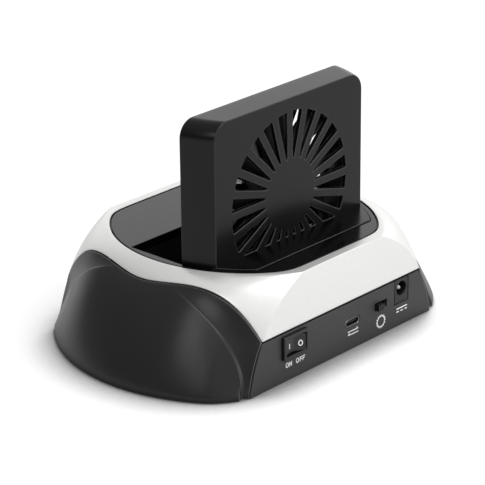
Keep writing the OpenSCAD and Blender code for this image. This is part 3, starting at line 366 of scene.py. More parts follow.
def place(name, shape, finish, nodes=(), body="housing", even=False):
    """Makes the object of a piece from points in millimetres and faces, and gives it its body and the
    finish of that name."""
    points, faces = shape
    mesh = bpy.data.meshes.new(name)
    total = np.concatenate([np.full(len(f), f.shape[1]) for f in faces])
    corners = np.concatenate([f.ravel() for f in faces]).astype(np.int32)
    mesh.vertices.add(len(points))
    mesh.vertices.foreach_set("co", (points * MM).ravel())
    mesh.loops.add(len(corners))
    mesh.loops.foreach_set("vertex_index", corners)
    mesh.polygons.add(len(total))
    mesh.polygons.foreach_set("loop_start", np.concatenate([[0], np.cumsum(total)[:-1]]).astype(np.int32))
    mesh.update(calc_edges=True)
    if mesh.validate():
        raise RuntimeError(name + " has faulty faces")
    work = bmesh.new()
    work.from_mesh(mesh)
    bmesh.ops.remove_doubles(work, verts=work.verts, dist=2e-6)
    bmesh.ops.recalc_face_normals(work, faces=work.faces)
    if work.calc_volume(signed=True) < 0:
        bmesh.ops.reverse_faces(work, faces=work.faces)
    work.to_mesh(mesh)
    work.free()
    mesh.shade_smooth()
    mesh.set_sharp_from_angle(angle=radians(SHARP_ANGLE))
    mesh.materials.append(FINISH[finish])
    piece = bpy.data.objects.new(name, mesh)
    bpy.context.scene.collection.objects.link(piece)
    if even:
        level = piece.modifiers.new("even_faces", "WEIGHTED_NORMAL")
        level.keep_sharp = True
    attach(piece, body)
    if nodes:
        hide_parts(*nodes)
    return piece


# Curves of the body, as in the CAD model


def oval(a, off):
    """Points of the deck's oval in directions a, moved out by off: the power mean of an ellipse and two
    straight edges."""
    e = np.hypot(np.cos(a) / (DECK_RX + off), np.sin(a) / (DECK_RY + off))
    s = np.abs(np.sin(a)) / (DECK_CUT + off)
    r = (e**40 + s**40) ** (-1 / 40)
    return join(r * np.cos(a), r * np.sin(a))


def land_edge(a):
    """Outer edge of the shell's land in directions a: an oval cut straight at the front and the rear."""
    e = 1 / np.hypot(np.cos(a) / LAND_RX, np.sin(a) / LAND_RY)
    r = np.minimum(e, FACE_Y / np.maximum(1e-9, np.abs(np.sin(a))))
    return join(r * np.cos(a), r * np.sin(a))


def edge_line(y):
    """Half width and height of the seam between shell and cap at y, and the direction into the wall
    there."""
    w = np.minimum(1, np.abs(y) / HALF_D)
    run = (np.hypot(w, EDGE_SOFT) - EDGE_SOFT) / (np.hypot(1, EDGE_SOFT) - EDGE_SOFT)
    x = SADDLE_X - (SADDLE_X - PANEL_TOP_HALF) * run
    z = SADDLE_Z + HUMP * w**2 - (SADDLE_Z + HUMP - PANEL_TOP) * w**EDGE_FALL
    k = 0.7 * (1 - w * w)
    return x, z, -unit(join(k, np.sign(y) * w * w, k))


def panel_half(z):
    """Half width of a panel at height z: a straight taper with a slight outward bow."""
    t = np.clip(z / PANEL_TOP, 0, 1)
    return PANEL_BOT_HALF + (PANEL_TOP_HALF - PANEL_BOT_HALF) * t + PANEL_BOW * 4 * t * (1 - t)


def foot_half(y):
    """Half width of the footprint at y: an ellipse with its rear corners drawn in. The draw starts earlier
    than in the CAD model and as a cube, not a square, so that no edge of light shows where it starts; the
    two differ by 0.15 mm at most."""
    tuck = np.maximum(0, (y - CORNER_Y) / (HALF_D - 1 - CORNER_Y)) ** 3
    return FOOT_W / 2 * np.sqrt(1 - ((y - FOOT_SHIFT) / (FOOT_L / 2)) ** 2) - FOOT_CORNER * tuck


def dome_x(y, z):
    """Half width of a cap's rounded side: a super-ellipse from the footprint up to the seam."""
    x, top, _ = edge_line(y)
    n = DOME_N - DOME_FLAT * np.minimum(1, np.abs(y) / HALF_D) ** 2
    t = np.clip((z - FOOT_Z) / (top - FOOT_Z), 0, 0.9999)
    return x + (foot_half(y) - 0.02 - x) * (1 - t**n) ** (1 / n)


def tower_half(y):
    """Half width of the tower at y, which follows an oval inside the deck's edge."""
    return TOWER_RX * np.sqrt(1 - (y / TOWER_RY) ** 2)


def tower_ring(y, d, z0=SKIRT_Z):
    """Outline of the tower at y in X and Z, shrunk by d: straight sides and a top with round corners."""
    w, top, r = tower_half(y) - d, TOWER_TOP - d, TOWER_R - d
    a = np.linspace(0, pi / 2, 13)
    right = join(w - r + r * np.cos(a), top - r + r * np.sin(a))
    return mirrored(np.concatenate([[[w, z0]], right]))


def gap_loops(floor):
    """Loops of the grille's radial gaps about the fan's axis: trapezes between parallel spokes, turned
    round the axis and cut off at the height floor, with rounded corners. They run clockwise, as holes
    do."""
    inner = max(0.35, HUB_R * np.tan(pi / GAPS) - SPOKE / 2)
    outer = GRILLE_R * sin(pi / GAPS) - SPOKE / 2
    a = (np.arange(GAPS) + 0.5)[:, None] * 2 * pi / GAPS
    c, s = np.cos(a), np.sin(a)
    ends = np.array([[HUB_R, inner], [HUB_R, -inner]]), np.array([[GRILLE_R, outer], [GRILLE_R, -outer]])
    near, far = (join(x * c - z * s, FAN_Z + x * s + z * c) for x, z in (p.T for p in ends))
    fall = np.minimum(far[..., 1] - near[..., 1], -1e-6)
    share = np.where(far[..., 1] < floor, (floor - near[..., 1]) / fall, 1)[..., None]
    far = near + (far - near) * share
    return round_corners(np.stack([near[:, 1], near[:, 0], far[:, 0], far[:, 1]], 1), 0.7, 5)


# Pieces


def shell_shape(r, crease_r):
    """Upper shell as a closed profile carried round the deck. In each direction the profile climbs the
    groove's wall, crosses the flat land, bends over its outer edge, falls to the lower edge as a parabola
    and returns inside."""
    corner = np.arctan2(FACE_Y, LAND_RX * np.sqrt(1 - (FACE_Y / LAND_RY) ** 2))
    # The columns lie closer together at the corner
    parts = [(0, corner - 0.04, 72), (corner - 0.04, corner, 9), (corner, corner + 0.02, 5)]
    quarter = [np.linspace(*part)[:-1] for part in parts]
    quarter = np.concatenate(quarter + [np.linspace(corner + 0.02, pi / 2, 20)])
    half = np.concatenate([quarter, pi - quarter[-2::-1]])
    a = np.concatenate([half, pi + half[1:-1]])
    start, brink = facing_z(oval(a, GROOVE), LAND_Z), facing_z(land_edge(a), LAND_Z)
    cx, cy = land_edge(np.array([corner]))[0]
    ye = HALF_D * np.clip(brink[:, 1] / cy, -1, 1)
    ex, ez, into = edge_line(ye)
    sx, sy = np.sign(brink[:, 0]), np.sign(ye)
    straight = (np.abs(brink[:, 0]) < cx - 1e-3)[:, None]
    end = np.where(
        straight,
        join(brink[:, 0] / cx * PANEL_TOP_HALF, sy * HALF_D, PANEL_TOP + SEAM / 2),
        join(sx * (ex - SEAM / 2), ye, ez + SEAM / 2),
    )
    into = np.where(straight, join(0, -sy, 0), into * join(sx, 1, 1))
    pull = (brink + end) / 2 * (1 - SHELL_BULGE) + facing_z(end, LAND_Z) * SHELL_BULGE
    slope = parabola(brink, pull, end, np.linspace(0, 1, 81))
    land_len, slope_len = gap(brink, start), gap(slope[:, 1:], slope[:, :-1]).sum(1)
    # The land's outer edge is crisp along the straight faces and softer round the sides
    away = np.clip((corner - (pi / 2 - np.abs(a % pi - pi / 2))) / 0.6, 0, 1)
    bend = crease_r * (1 + 4 * away * away * (3 - 2 * away))
    r_in, r_land = np.minimum(0.15, 0.4 * land_len), np.minimum(bend, 0.5 * land_len)
    land = resample(np.stack([start, brink], 1), spread(r_in, land_len - r_land, 4))
    fall = resample(slope, spread(bend, slope_len - r, 30))
    down = np.array([[0, 0, -1.0]])
    mitre = unit(grid_normal(fall, True)[:, 2] + [0, 0, 1])
    grid = columns(
        start + WALL * down,
        start + r * down,
        swing(start + r_in[:, None] * down, start, land[:, 0], 3),
        land,
        swing(land[:, -1], brink, fall[:, 0], 5),
        fall,
        swing(fall[:, -1], end, end + r * into, 3),
        end + r * into,
        end + WALL * into,
        (fall - WALL * grid_normal(fall, True))[:, -5:5:-5],
        brink - WALL * mitre / mitre[:, 2:],
    )
    return ring_solid(grid)


def ramp(x, low, high):
    """A smooth step from 0 at low to 1 at high."""
    t = np.clip((x - low) / (high - low), 0, 1)
    return t * t * (3 - 2 * t)


def cap_shape(side, r, r_panel, band, depth):
    """Side cap as a closed profile carried from the front panel to the rear one. Each profile runs from
    the seam over a hollow facet that lies below the side's edge, up a narrow band to the crease, down the
    rounded side, and as a thin apron over the tray's rim to the floor."""
    height = lambda v: CREASE_END + (CREASE_TOP - CREASE_END) * np.cos(v * pi / 2)
    panel_v = np.arccos((PANEL_TOP - CREASE_END) / (CREASE_TOP - CREASE_END)) / (pi / 2)
    knots = [(0, MERGE_V, 15), (MERGE_V, panel_v, 61), (panel_v, 1, 49)]
    half = np.concatenate([np.linspace(a, b, n)[:-1] for a, b, n in knots] + [[1.0]])
    v = np.concatenate([-half[:0:-1], half])
    far, front = np.abs(v), np.sign(v)
    y = CREASE_D * np.sin(v * pi / 2)
    z = np.minimum(height(v), edge_line(y)[1] - CAP_LIP)
    m, p = CREASE_D * sin(MERGE_V * pi / 2), CREASE_D * sin(panel_v * pi / 2)
    out = np.abs(y)
    ye = np.where(out < m, out, m + (HALF_D - m) * np.clip((out - m) / (p - m), 0, 1)) * front
    ex, ez, into = edge_line(ye)
    zp = FOOT_Z + (PANEL_TOP - FOOT_Z) * np.clip((z - CREASE_END) / (PANEL_TOP - CREASE_END), 0, 1)
    beside = (far > panel_v + 1e-6)[:, None]
    edge = np.where(
        beside,
        join(panel_half(zp) + SEAM / 2, front * HALF_D, zp),
        join(ex + SEAM / 2, ye, ez - SEAM / 2),
    )
    into = np.where(beside, join(0, -front, 0), into)
    # The side is drawn in along its crease, most of all half way down
    s = np.linspace(0, 1, 121)
    draw = DRAW_IN * ramp(far, 0.25, 0.6) * (1 - 0.6 * ramp(far, 0.75, 1))
    draw = draw[:, None] * join(0.68, 0.62 * front, 0.377)
    zz = z[:, None] + (FOOT_Z - z)[:, None] * s**1.3
    dome = join(dome_x(y[:, None], zz), y[:, None], zz) - draw[:, None] * (1 - s**2)[:, None]
    crease, foot = dome[:, 0], dome[:, -1]
    dome_len = gap(dome[:, 1:], dome[:, :-1]).sum(1)
    # The band is narrow at the top of the crease and widens to the foot, and fades out where the crease
    # meets the seam
    t = unit(edge - crease)
    lift = unit(np.cross(np.gradient(crease, axis=0), t))
    lift = lift * np.sign(lift[:, :1])
    facet_len = gap(crease, edge)
    wide = np.minimum(0.4 + (band - 0.4) * ramp(far, 0.45, 1), 0.3 * facet_len)[:, None]
    deep = (ramp(far, MERGE_V + 0.03, 0.4) * (0.35 + (depth - 0.35) * ramp(far, 0.35, 0.8)))[:, None]
    sunk = crease + wide * t - deep * lift
    facet_len, band_len = gap(sunk, edge), gap(crease, sunk)
    ra = np.minimum(r + (r_panel - r) * ramp(far, panel_v, panel_v + 0.07), 0.3 * facet_len)
    rc = np.minimum(0.25, 0.4 * band_len)
    u = np.linspace(0, 1, 21)[:, None]
    hollow = np.minimum(0.3, 0.03 * facet_len)[:, None, None] * 4 * u * (1 - u) * lift[:, None]
    facet = edge[:, None] * (1 - u) + sunk[:, None] * u - hollow
    facet = resample(facet, spread(ra, facet_len - 0.4 * rc, 12))
    # Away from its edge the facet takes the mean over its neighbours, so the panel's corner leaves no line
    # across it
    padded = np.pad(facet, ((6, 6), (0, 0), (0, 0)), "edge")
    mean = sum(padded[k : k + len(v)] for k in range(13)) / 13
    across = np.linspace(0, 1, 12)
    share = ramp(across, 0, 0.4) * (1 - ramp(across, 0.75, 1))
    share = (share * (1 - ramp(far, 0.85, 0.98))[:, None] * ramp(far, 0.3, 0.45)[:, None])[..., None]
    facet = facet * (1 - share) + mean * share
    strip = resample(np.stack([sunk, crease], 1), spread(0.4 * rc, band_len - rc, 3))
    flank = resample(dome, spread(rc, dome_len, 44))
    run = np.gradient(foot, axis=0)
    under = unit(join(-run[:, 1], run[:, 0], 0))
    low = foot * [1, 1, 0] + [0, 0, APRON_Z]
    rb = 0.4
    picks = ((flank, slice(-8, 3, -6)), (facet, slice(-3, 1, -3)))
    inner = np.concatenate([(g - WALL * grid_normal(g, False))[:, k] for g, k in picks], 1)
    inner[..., 2] = np.maximum(inner[..., 2], FOOT_Z + 0.1)
    grid = columns(
        edge + WALL * into,
        edge + ra[:, None] * into,
        swing(edge + ra[:, None] * into, edge, facet[:, 0], 4),
        facet,
        strip,
        swing(strip[:, -1], crease, flank[:, 0], 4),
        flank,
        low + [0, 0, rb],
        swing(low + [0, 0, rb], low, low + rb * under, 3),
        low + rb * under,
        low + APRON_T * under,
        foot + [0, 0, 0.05] + APRON_T * under,
        foot + [0, 0, 0.05] + WALL * under,
        inner,
    )
    # Each end of the cap stands on the floor beside its panel
    stand = grid[[0, -1]] * [1, 1, 0] + [0, 0, APRON_Z]
    grid = np.concatenate([stand[:1], grid, stand[1:]])
    return grid.reshape(-1, 3) * [side, 1, 1], tube_faces(*grid.shape[:2])


def tray_shape():
    """The tray's own CAD form with its rim drawn in behind the caps' aprons and the panels: each point
    beyond a line inside the footprint moves onto it."""
    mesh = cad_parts["base_tray"].data
    points = np.empty(len(mesh.vertices) * 3)
    mesh.vertices.foreach_get("co", points)
    points = points.reshape(-1, 3) / MM
    mesh.calc_loop_triangles()
    tris = np.empty(len(mesh.loop_triangles) * 3, np.int32)
    mesh.loop_triangles.foreach_get("vertices", tris)
    y = np.clip(points[:, 1], -(HALF_D - PANEL_T - 0.1), HALF_D - PANEL_T - 0.1)
    x = np.clip(points[:, 0], -(foot_half(y) - TRAY_INSET), foot_half(y) - TRAY_INSET)
    return join(x, y, points[:, 2]), [tris.reshape(-1, 3)]


def panel_loop(notch):
    """Outline of a panel in X and Z with its bowed sides; notch adds the power jack's cut-out in the top
    edge."""
    top = PANEL_TOP - PANEL_GAP
    z = np.linspace(PANEL_Z0, top, 17)
    right = join(panel_half(z) - SEAM / 2, z)
    left = (right * [-1, 1])[::-1]
    x0, x1, z0 = JACK_X - JACK_W / 2 - 0.3, JACK_X + JACK_W / 2 + 0.3, JACK_Z0 - 0.3
    cut = np.array([[x1, top], [x1, z0], [x0, z0], [x0, top]])
    return np.concatenate([right, cut, left] if notch else [right, left])


def deck_shape(r):
    """Deck plate: walls along its oval and along the opening for drive and tower, with round upper edges,
    flat faces between them, a thin rim across the groove that lines the shell's wall, and a hidden lip
    under the shell."""
    a = turns(288)
    edge = oval(a, 0)
    lip = oval(a, LIP)
    lip[:, 1] = np.clip(lip[:, 1], -DECK_CUT - 0.2, DECK_CUT + 0.2)
    rings = [facing_z(inset(edge, d), DECK_Z - h) for d, h in edge_steps(r)]
    near, wall, groove_z = oval(a, RIM_IN), oval(a, RIM_OUT), LIP_Z + 0.3
    steps = [(edge, groove_z), (near, groove_z), (near, DECK_Z - 0.15), (wall, DECK_Z + 0.02)]
    steps += [(wall, LIP_Z), (lip, LIP_Z), (lip, DECK_BOTTOM)]
    outer = np.stack(rings + [facing_z(loop, z) for loop, z in steps])
    y = np.linspace(TOWER_Y0, FLANGE_Y, 25) + TOWER_GAP
    right = join(tower_half(y - TOWER_GAP) + TOWER_GAP, y)
    hole = np.concatenate([[[-SLOT_X, SLOT_Y0], [SLOT_X, SLOT_Y0]], mirrored(right)])[::-1]
    opening = wall_stack(hole, DECK_Z, DECK_BOTTOM, 0.3, facing_z, 4)
    return stack_solid([outer, opening], [0, 1])


def tower_shape(r, gap_r):
    """Fan cover: the tower's outline carried from the inside round the front edge, along the sides and
    over the rounded rear edge, and a rear face with radial gaps."""
    steps = [(d, TOWER_Y1 - h) for d, h in edge_steps(r, 7)]
    steps += [(0, y) for y in np.linspace(TOWER_Y1 - r, TOWER_Y0 + 0.5, 7)[1:]]
    steps += [(d, TOWER_Y0 + h) for d, h in edge_steps(0.5, 4)[-2::-1]]
    steps += [(WALL - 0.2, TOWER_Y0), (WALL, TOWER_Y0 + 0.3), (WALL, TOWER_Y1 - WALL)]
    skin = np.stack([facing_y(tower_ring(y, d), y) for d, y in steps])
    holes = gap_loops(FLANGE_Z + 0.3)
    gaps = [wall_stack(loop, TOWER_Y1, TOWER_Y1 - WALL, gap_r, steps=4) for loop in holes]
    return stack_solid([skin] + gaps, [0, 2])


def flange_shape():
    """Flange that closes the deck behind the tower: a flat plate along the tower's oval with a round upper
    edge."""
    y = np.linspace(TOWER_Y1 - 1, FLANGE_Y, 15)
    right = join(tower_half(y), y)
    return stack_solid([wall_stack(mirrored(right), FLANGE_Z, DECK_BOTTOM, 0.3, facing_z)], [0, 1])


def front_grille_shape(gap_r):
    """Front grille: a flat plate inside the tower with the same radial gaps and four screw holes."""
    y1 = TOWER_Y0 + 2
    outline = tower_ring(y1, WALL + 0.2, SKIRT_Z + 0.2)
    d = (-SCREW_HALF, SCREW_HALF)
    holes = [round_loop(x, FAN_Z + z, SCREW_R, 32)[::-1] for x in d for z in d]
    stacks = [wall_stack(outline, TOWER_Y0, y1, 0.2, steps=3)]
    stacks += [wall_stack(loop, TOWER_Y0, y1, gap_r, steps=4) for loop in gap_loops(0)]
    stacks += [wall_stack(loop, TOWER_Y0, y1, 0.15, steps=3) for loop in holes]
    return stack_solid(stacks, [0, 2])


def rotor_shape():
    """Fan rotor: a turned hub cup and blades. A blade's section is a cambered ellipse whose chord, pitch
    and lead change from hub to tip, carried outwards and bent round the axis."""
    r, y0, y1 = ROTOR_R, ROTOR_Y0, ROTOR_Y1
    bore, wall = 1.02, 1.4
    crown = [[bore, y1], [r - 1.2, y1], [r - 0.5, y1 - 0.15], [r - 0.15, y1 - 0.5], [r, y1 - 1.2]]
    cup = np.array(crown + [[r, y0], [r - wall, y0], [r - wall, y1 - wall], [bore, y1 - wall]])
    s = np.linspace(0, 1, 15)[:, None]
    a = turns(28)
    rad = ROTOR_R - 0.5 + (BLADE_R - ROTOR_R + 0.5) * s
    pitch = np.radians(46 - 20 * s)
    chord = (y1 - y0 - 1.2) / np.sin(pitch)
    along = np.cos(a) / 2 * chord
    across = 0.1 * chord * np.sin(a) ** 2 + np.sin(a) * (0.55 - 0.15 * s)
    lead = 0.25 * s**1.5 + (along * np.cos(pitch) - across * np.sin(pitch)) / rad
    axial = along * np.sin(pitch) + across * np.cos(pitch)
    axial = np.clip(axial - axial.mean(1, keepdims=True), -3.3, 3.3) + (y0 + y1) / 2
    turn = lead[None] + turns(BLADES)[:, None, None]
    blades = join(rad * np.cos(turn), axial, FAN_Z + rad * np.sin(turn))
    parts = [(blade.reshape(-1, 3), tube_faces(*blade.shape[:2])) for blade in blades]
    return merge([lathe(cup, (0, FAN_Z))] + parts)


def rocker_housing_shape():
    """Rocker switch body: a bezel with round edges that steps back to the body in the panel, and a deep
    opening."""
    front = HALF_D + ROCKER_OUT
    bezel = box_loop(ROCKER_X, ROCKER_Z, 15.2, 10.6, 0.9)
    body = box_loop(ROCKER_X, ROCKER_Z, 13.2, 8.7, 0.5)
    hole = box_loop(ROCKER_X, ROCKER_Z, 12.4, 7.5, 0.25)[::-1]
    back = np.stack([facing_y(body, HALF_D), facing_y(body, 44)])
    outer = np.concatenate([wall_stack(bezel, front, HALF_D, 0.5), back])
    inner = wall_stack(hole, front, HALF_D - 8, 0.25, steps=4)
    return socket_solid(outer, inner)


def tilt(p):
    """Points of the rocker turned about its pivot to its angle at rest, and put in place."""
    c, s = cos(radians(ROCKER_TILT)), sin(radians(ROCKER_TILT))
    x, y = p[..., 0], p[..., 1]
    return join(ROCKER_X + c * x - s * y, PIVOT_Y + s * x + c * y, ROCKER_Z + p[..., 2])


def rocker_face(s):
    """Height of the rocker's dished face over the pivot at s, which runs from -1 to 1 along the face."""
    return ROCKER_FACE - DISH * (1 - np.abs(s) ** DISH_POWER)


def rocker_button_shape():
    """Rocker button: a shallow V face and round ends about the pivot, carried along Z with round edges, on
    a pivot pin."""
    end, back = np.arcsin(ROCKER_FACE / ROCKER_R), np.arcsin(3.6 / ROCKER_R)
    a = np.linspace(end, -back, 13)
    right = join(ROCKER_R * np.cos(a), ROCKER_R * np.sin(a))
    s = np.linspace(-1, 1, 15)
    dish = join(s * right[0, 0], rocker_face(s))[1:-1]
    loop = np.concatenate([dish, mirrored(right)])[::-1]
    stack = wall_stack(loop, 3.55, -3.55, 0.35, facing_z, 5, True)
    pin = wall_stack(round_loop(0, 0, 0.9, 24), 4.3, -4.3, 0.1, facing_z, 3, True)
    points, faces = merge([stack_solid([stack], [0, 1]), stack_solid([pin], [0, 1])])
    return tilt(points), faces


def stroke(path, width, closed=False):
    """Loops of a drawn line: the path moved by half its width to either side."""
    path = np.asarray(path, float)
    if closed:
        return [inset(path, -width / 2), inset(path, width / 2)[::-1]]
    step = unit(np.gradient(path, axis=0))
    side = join(-step[:, 1], step[:, 0]) * width / 2
    return [np.concatenate([path - side, (path + side)[::-1]])]


def mark_lines():
    """Drawn lines of the generic printed marks as loops in X and Z, each mark in its own place on the rear
    panel. Seen from behind, X runs to the left, so a mark is drawn as seen and then mirrored."""
    w = 0.36
    seen = []
    ring = round_loop(0, 0, 1, 40)
    # ON and OFF under the rocker
    z = 7.2
    letter_n = ([[-0.65, -1.1], [-0.65, 1.1]], [[0.65, -1.1], [0.65, 1.1]], [[-0.65, 1.0], [0.65, -1.0]])
    letter_f = ([[-0.5, -1.1], [-0.5, 1.1]], [[-0.3, 0.9], [0.8, 0.9]], [[-0.3, 0.0], [0.6, 0.0]])
    seen += [(36.0, z, stroke(ring * [0.75, 0.95], w, True))]
    seen += [(33.9, z, stroke(line, w)) for line in letter_n]
    seen += [(29.6, z, stroke(ring * [0.75, 0.95], w, True))]
    seen += [(x, z, stroke(line, w)) for x in (27.5, 25.7) for line in letter_f]
    # A two-way arrow under the data port
    for z, s in ((0.75, 1), (-0.75, -1)):
        shaft, barb = [[-3.4, z], [3.4, z]], [[2.2 * s, z + 0.75], [3.3 * s, z]]
        seen += [(-6.2, 7.8, stroke(line, w)) for line in (shaft, barb)]
    # A toothed ring under the fan's speed switch
    seen += [(SPEED_X, 6.3, stroke(ring * 2.4, 0.36, True))]
    for spoke in round_loop(0, 0, 1, 14):
        seen += [(SPEED_X, 6.3, stroke([2.6 * spoke, 3.15 * spoke], 0.5))]
    # The sign for direct current under the power jack
    seen += [(-39.0, 7.6, stroke([[-3.6, 0.7], [3.6, 0.7]], 0.5))]
    seen += [(-39.0, 7.6, stroke([[x - 0.8, -0.7], [x + 0.8, -0.7]], 0.5)) for x in (-2.8, 0, 2.8)]
    return [[loop * [-1, 1] + [x, z] for loop in loops] for x, z, loops in seen]


def prints_shape(height):
    """Printed marks: thin raised layers on the panel along the marks' loops."""
    parts = []
    for loops in mark_lines():
        faces = (HALF_D + height, HALF_D - 0.02)
        stacks = [np.stack([facing_y(loop, y) for y in faces]) for loop in loops]
        parts.append(stack_solid(stacks, [0, 2]))
    return merge(parts)


def rocker_marks_shape(height):
    """The two marks of the rocker, a ring and a bar, laid on the two halves of its dished face and tilted
    with it."""
    x_end = ROCKER_R * np.cos(np.arcsin(ROCKER_FACE / ROCKER_R))
    parts = []
    ring = stroke(round_loop(0, 0, 1, 40) * [0.8, 1.15], 0.42, True)
    bar = stroke([[0, -1.15], [0, 1.15]], 0.45)
    for loops, x0 in ((ring, -2.9), (bar, 2.9)):
        stacks = []
        for loop in loops:
            x = x0 + loop[:, 0]
            y = rocker_face(x / x_end)
            stacks.append(tilt(np.stack([join(x, y + d, loop[:, 1]) for d in (height, -0.03)])))
        parts.append(stack_solid(stacks, [0, 2]))
    return merge(parts)


def port_shape():
    """Data port: a thin rounded metal sleeve with a rolled front edge, closed at the back."""
    outer = wall_stack(slot_loop(PORT_X, PORT_Z, PORT_W, PORT_H), PORT_FRONT, 48.4, 0.12, steps=4)
    mouth = slot_loop(PORT_X, PORT_Z, PORT_W - 0.45, PORT_H - 0.45)[::-1]
    inner = wall_stack(mouth, PORT_FRONT, 49.4, 0.12, steps=4)
    return socket_solid(outer, inner)


def jack_shape():
    """Power jack: a block with round edges and a round socket with a chamfered mouth."""
    z = (JACK_Z0 + JACK_Z1) / 2
    outer = wall_stack(box_loop(JACK_X, z, JACK_W, JACK_Z1 - JACK_Z0, 0.5), JACK_FRONT, 41.7, 0.35)
    inner = wall_stack(round_loop(JACK_X, JACK_Z, 3.2)[::-1], JACK_FRONT, 46.4, 0.3, steps=4)
    return socket_solid(outer, inner)


# Finishes


def add(tree, kind, sockets=None, **settings):
    """Adds a node, sets its options, and fills its sockets with values or with links: from a socket of
    another node, or from that node's first output in use."""
    node = tree.nodes.new("ShaderNode" + kind)
    for key, value in settings.items():
        setattr(node, key, value)
    for key, value in (sockets or {}).items():
        if isinstance(value, bpy.types.Node):
            value = next(out for out in value.outputs if out.enabled)
        if isinstance(value, bpy.types.NodeSocket):
            tree.links.new(value, node.inputs[key])
        else:
            node.inputs[key].default_value = value
    return node


def new_material(name):
    """A node material, its tree, and the object's own coordinates, which are all that the tree has."""
    material = bpy.data.materials.new(name)
    material.use_nodes = True
    tree = material.node_tree
    tree.nodes.clear()
    return material, tree, add(tree, "TexCoord").outputs["Object"]


def shades(colour, spread):
    """A colour, given as numbers or in hex, a little darker and a little lighter, for a gentle mottle."""
    colour = hex_linear(colour) if isinstance(colour, str) else colour
    return [tuple(min(1.0, c * k) for c in colour) + (1.0,) for k in (1 - spread, 1 + spread)]


def moulded(name, colour, rough, grain, depth, mottle=0.06, specular=0.5, painted_edge_highlight=0.0, stretch=(1, 1, 1)):
    """Moulded plastic: a fine grain as bump, and a slow cloud, as wide as the flow of the melt in the
    mould, that shifts colour and gloss a little. grain and depth are in millimetres. painted_edge_highlight
    is the strength of a painted highlight: where the normal leaves the one averaged over 0.5 mm, along
    rounded edges and creases, the colour turns to pale grey in patches."""
    material, tree, where = new_material(name)
    drawn = add(tree, "Mapping", {"Vector": where, "Scale": stretch})
    fine = add(tree, "TexNoise", {
        "Vector": drawn, "Scale": 1 / (grain * MM), "Detail": 3.0, "Roughness": 0.6,
    })
    cloud = add(tree, "TexNoise", {
        "Vector": drawn, "Scale": 1 / (24 * MM), "Detail": 4.0, "Roughness": 0.55,
    })
    dark, pale = shades(colour, mottle)
    tint = add(tree, "Mix", {"Factor": cloud, "A": dark, "B": pale}, data_type="RGBA")
    # Painted highlight: along rounded edges and creases, where the normal leaves its 0.5 mm average, pale
    # grey is mixed into the colour in cloudy patches
    if painted_edge_highlight:
        soft = add(tree, "Bevel", {"Radius": 0.5 * MM}, samples=6)
        face = add(tree, "NewGeometry").outputs["Normal"]
        same = add(tree, "VectorMath", {0: soft, 1: face}, operation="DOT_PRODUCT")
        edge = add(tree, "MapRange", {"Value": same, "From Min": 0.998, "From Max": 0.95, "To Max": painted_edge_highlight})
        highlight_mask = add(tree, "Math", {0: edge, 1: cloud}, operation="MULTIPLY")
        highlight_grey = shades("#B4B4B4", 0)[0]
        tint = add(tree, "Mix", {"Factor": highlight_mask, "A": tint, "B": highlight_grey}, data_type="RGBA")
    gloss = add(tree, "MapRange", {
        "Value": cloud, "From Min": 0.3, "From Max": 0.7, "To Min": rough * 0.9, "To Max": rough * 1.12,
    })
    bump = add(tree, "Bump", {"Height": fine, "Strength": 1.0, "Distance": depth * MM})
    bsdf = add(tree, "BsdfPrincipled", {
        "Base Color": tint, "Roughness": gloss, "Normal": bump, "IOR": 1.5, "Specular IOR Level": specular,
    })
    add(tree, "OutputMaterial", {"Surface": bsdf})
    return material


def metal(name, colour, rough, stretch=(1, 1, 12)):
    """Drawn or plated metal: long fine lines, as the drawing die leaves them, that vary gloss and carry a
    slight bump."""
    material, tree, where = new_material(name)
    drawn = add(tree, "Mapping", {"Vector": where, "Scale": stretch})
    lines = add(tree, "TexNoise", {"Vector": drawn, "Scale": 1 / (0.3 * MM), "Detail": 2.0})
    dark, pale = shades(colour, 0.08)
    tint = add(tree, "Mix", {"Factor": lines, "A": dark, "B": pale}, data_type="RGBA")
    gloss = add(tree, "MapRange", {"Value": lines, "To Min": rough * 0.7, "To Max": rough * 1.3})
    bump = add(tree, "Bump", {"Height": lines, "Strength": 1.0, "Distance": 0.004 * MM})
    bsdf = add(tree, "BsdfPrincipled", {
        "Base Color": tint, "Roughness": gloss, "Normal": bump, "Metallic": 1.0,
    })
    add(tree, "OutputMaterial", {"Surface": bsdf})
    return material


def silver_lacquer(colour):
    """Satin silver-white lacquer on ABS: sprayed, so it has flakes that sparkle faintly and a soft orange
    peel. The flakes are drawn at 0.6 mm, far coarser than real ones, so that they still show."""
    material, tree, where = new_material("satin_silver_lacquer")
    flakes = add(tree, "TexVoronoi", {"Vector": where, "Scale": 1 / (0.6 * MM)}, feature="F1")
    peel = add(tree, "TexNoise", {"Vector": where, "Scale": 1 / (2.2 * MM), "Detail": 2.0})
    cloud = add(tree, "TexNoise", {"Vector": where, "Scale": 1 / (30 * MM), "Detail": 3.0})
    dark, pale = shades(colour, 0.025)
    tint = add(tree, "Mix", {"Factor": flakes.outputs["Color"], "A": dark, "B": pale}, data_type="RGBA")
    gloss = add(tree, "MapRange", {
        "Value": cloud, "From Min": 0.3, "From Max": 0.7, "To Min": 0.28, "To Max": 0.36,
    })
    bump = add(tree, "Bump", {"Height": peel, "Strength": 1.0, "Distance": 0.006 * MM})
    bsdf = add(tree, "BsdfPrincipled", {
        "Base Color": tint, "Roughness": gloss, "Normal": bump,
        "Metallic": 0.5, "IOR": 1.5, "Coat Weight": 0.12, "Coat Roughness": 0.2,
    })
    add(tree, "OutputMaterial", {"Surface": bsdf})
    return material


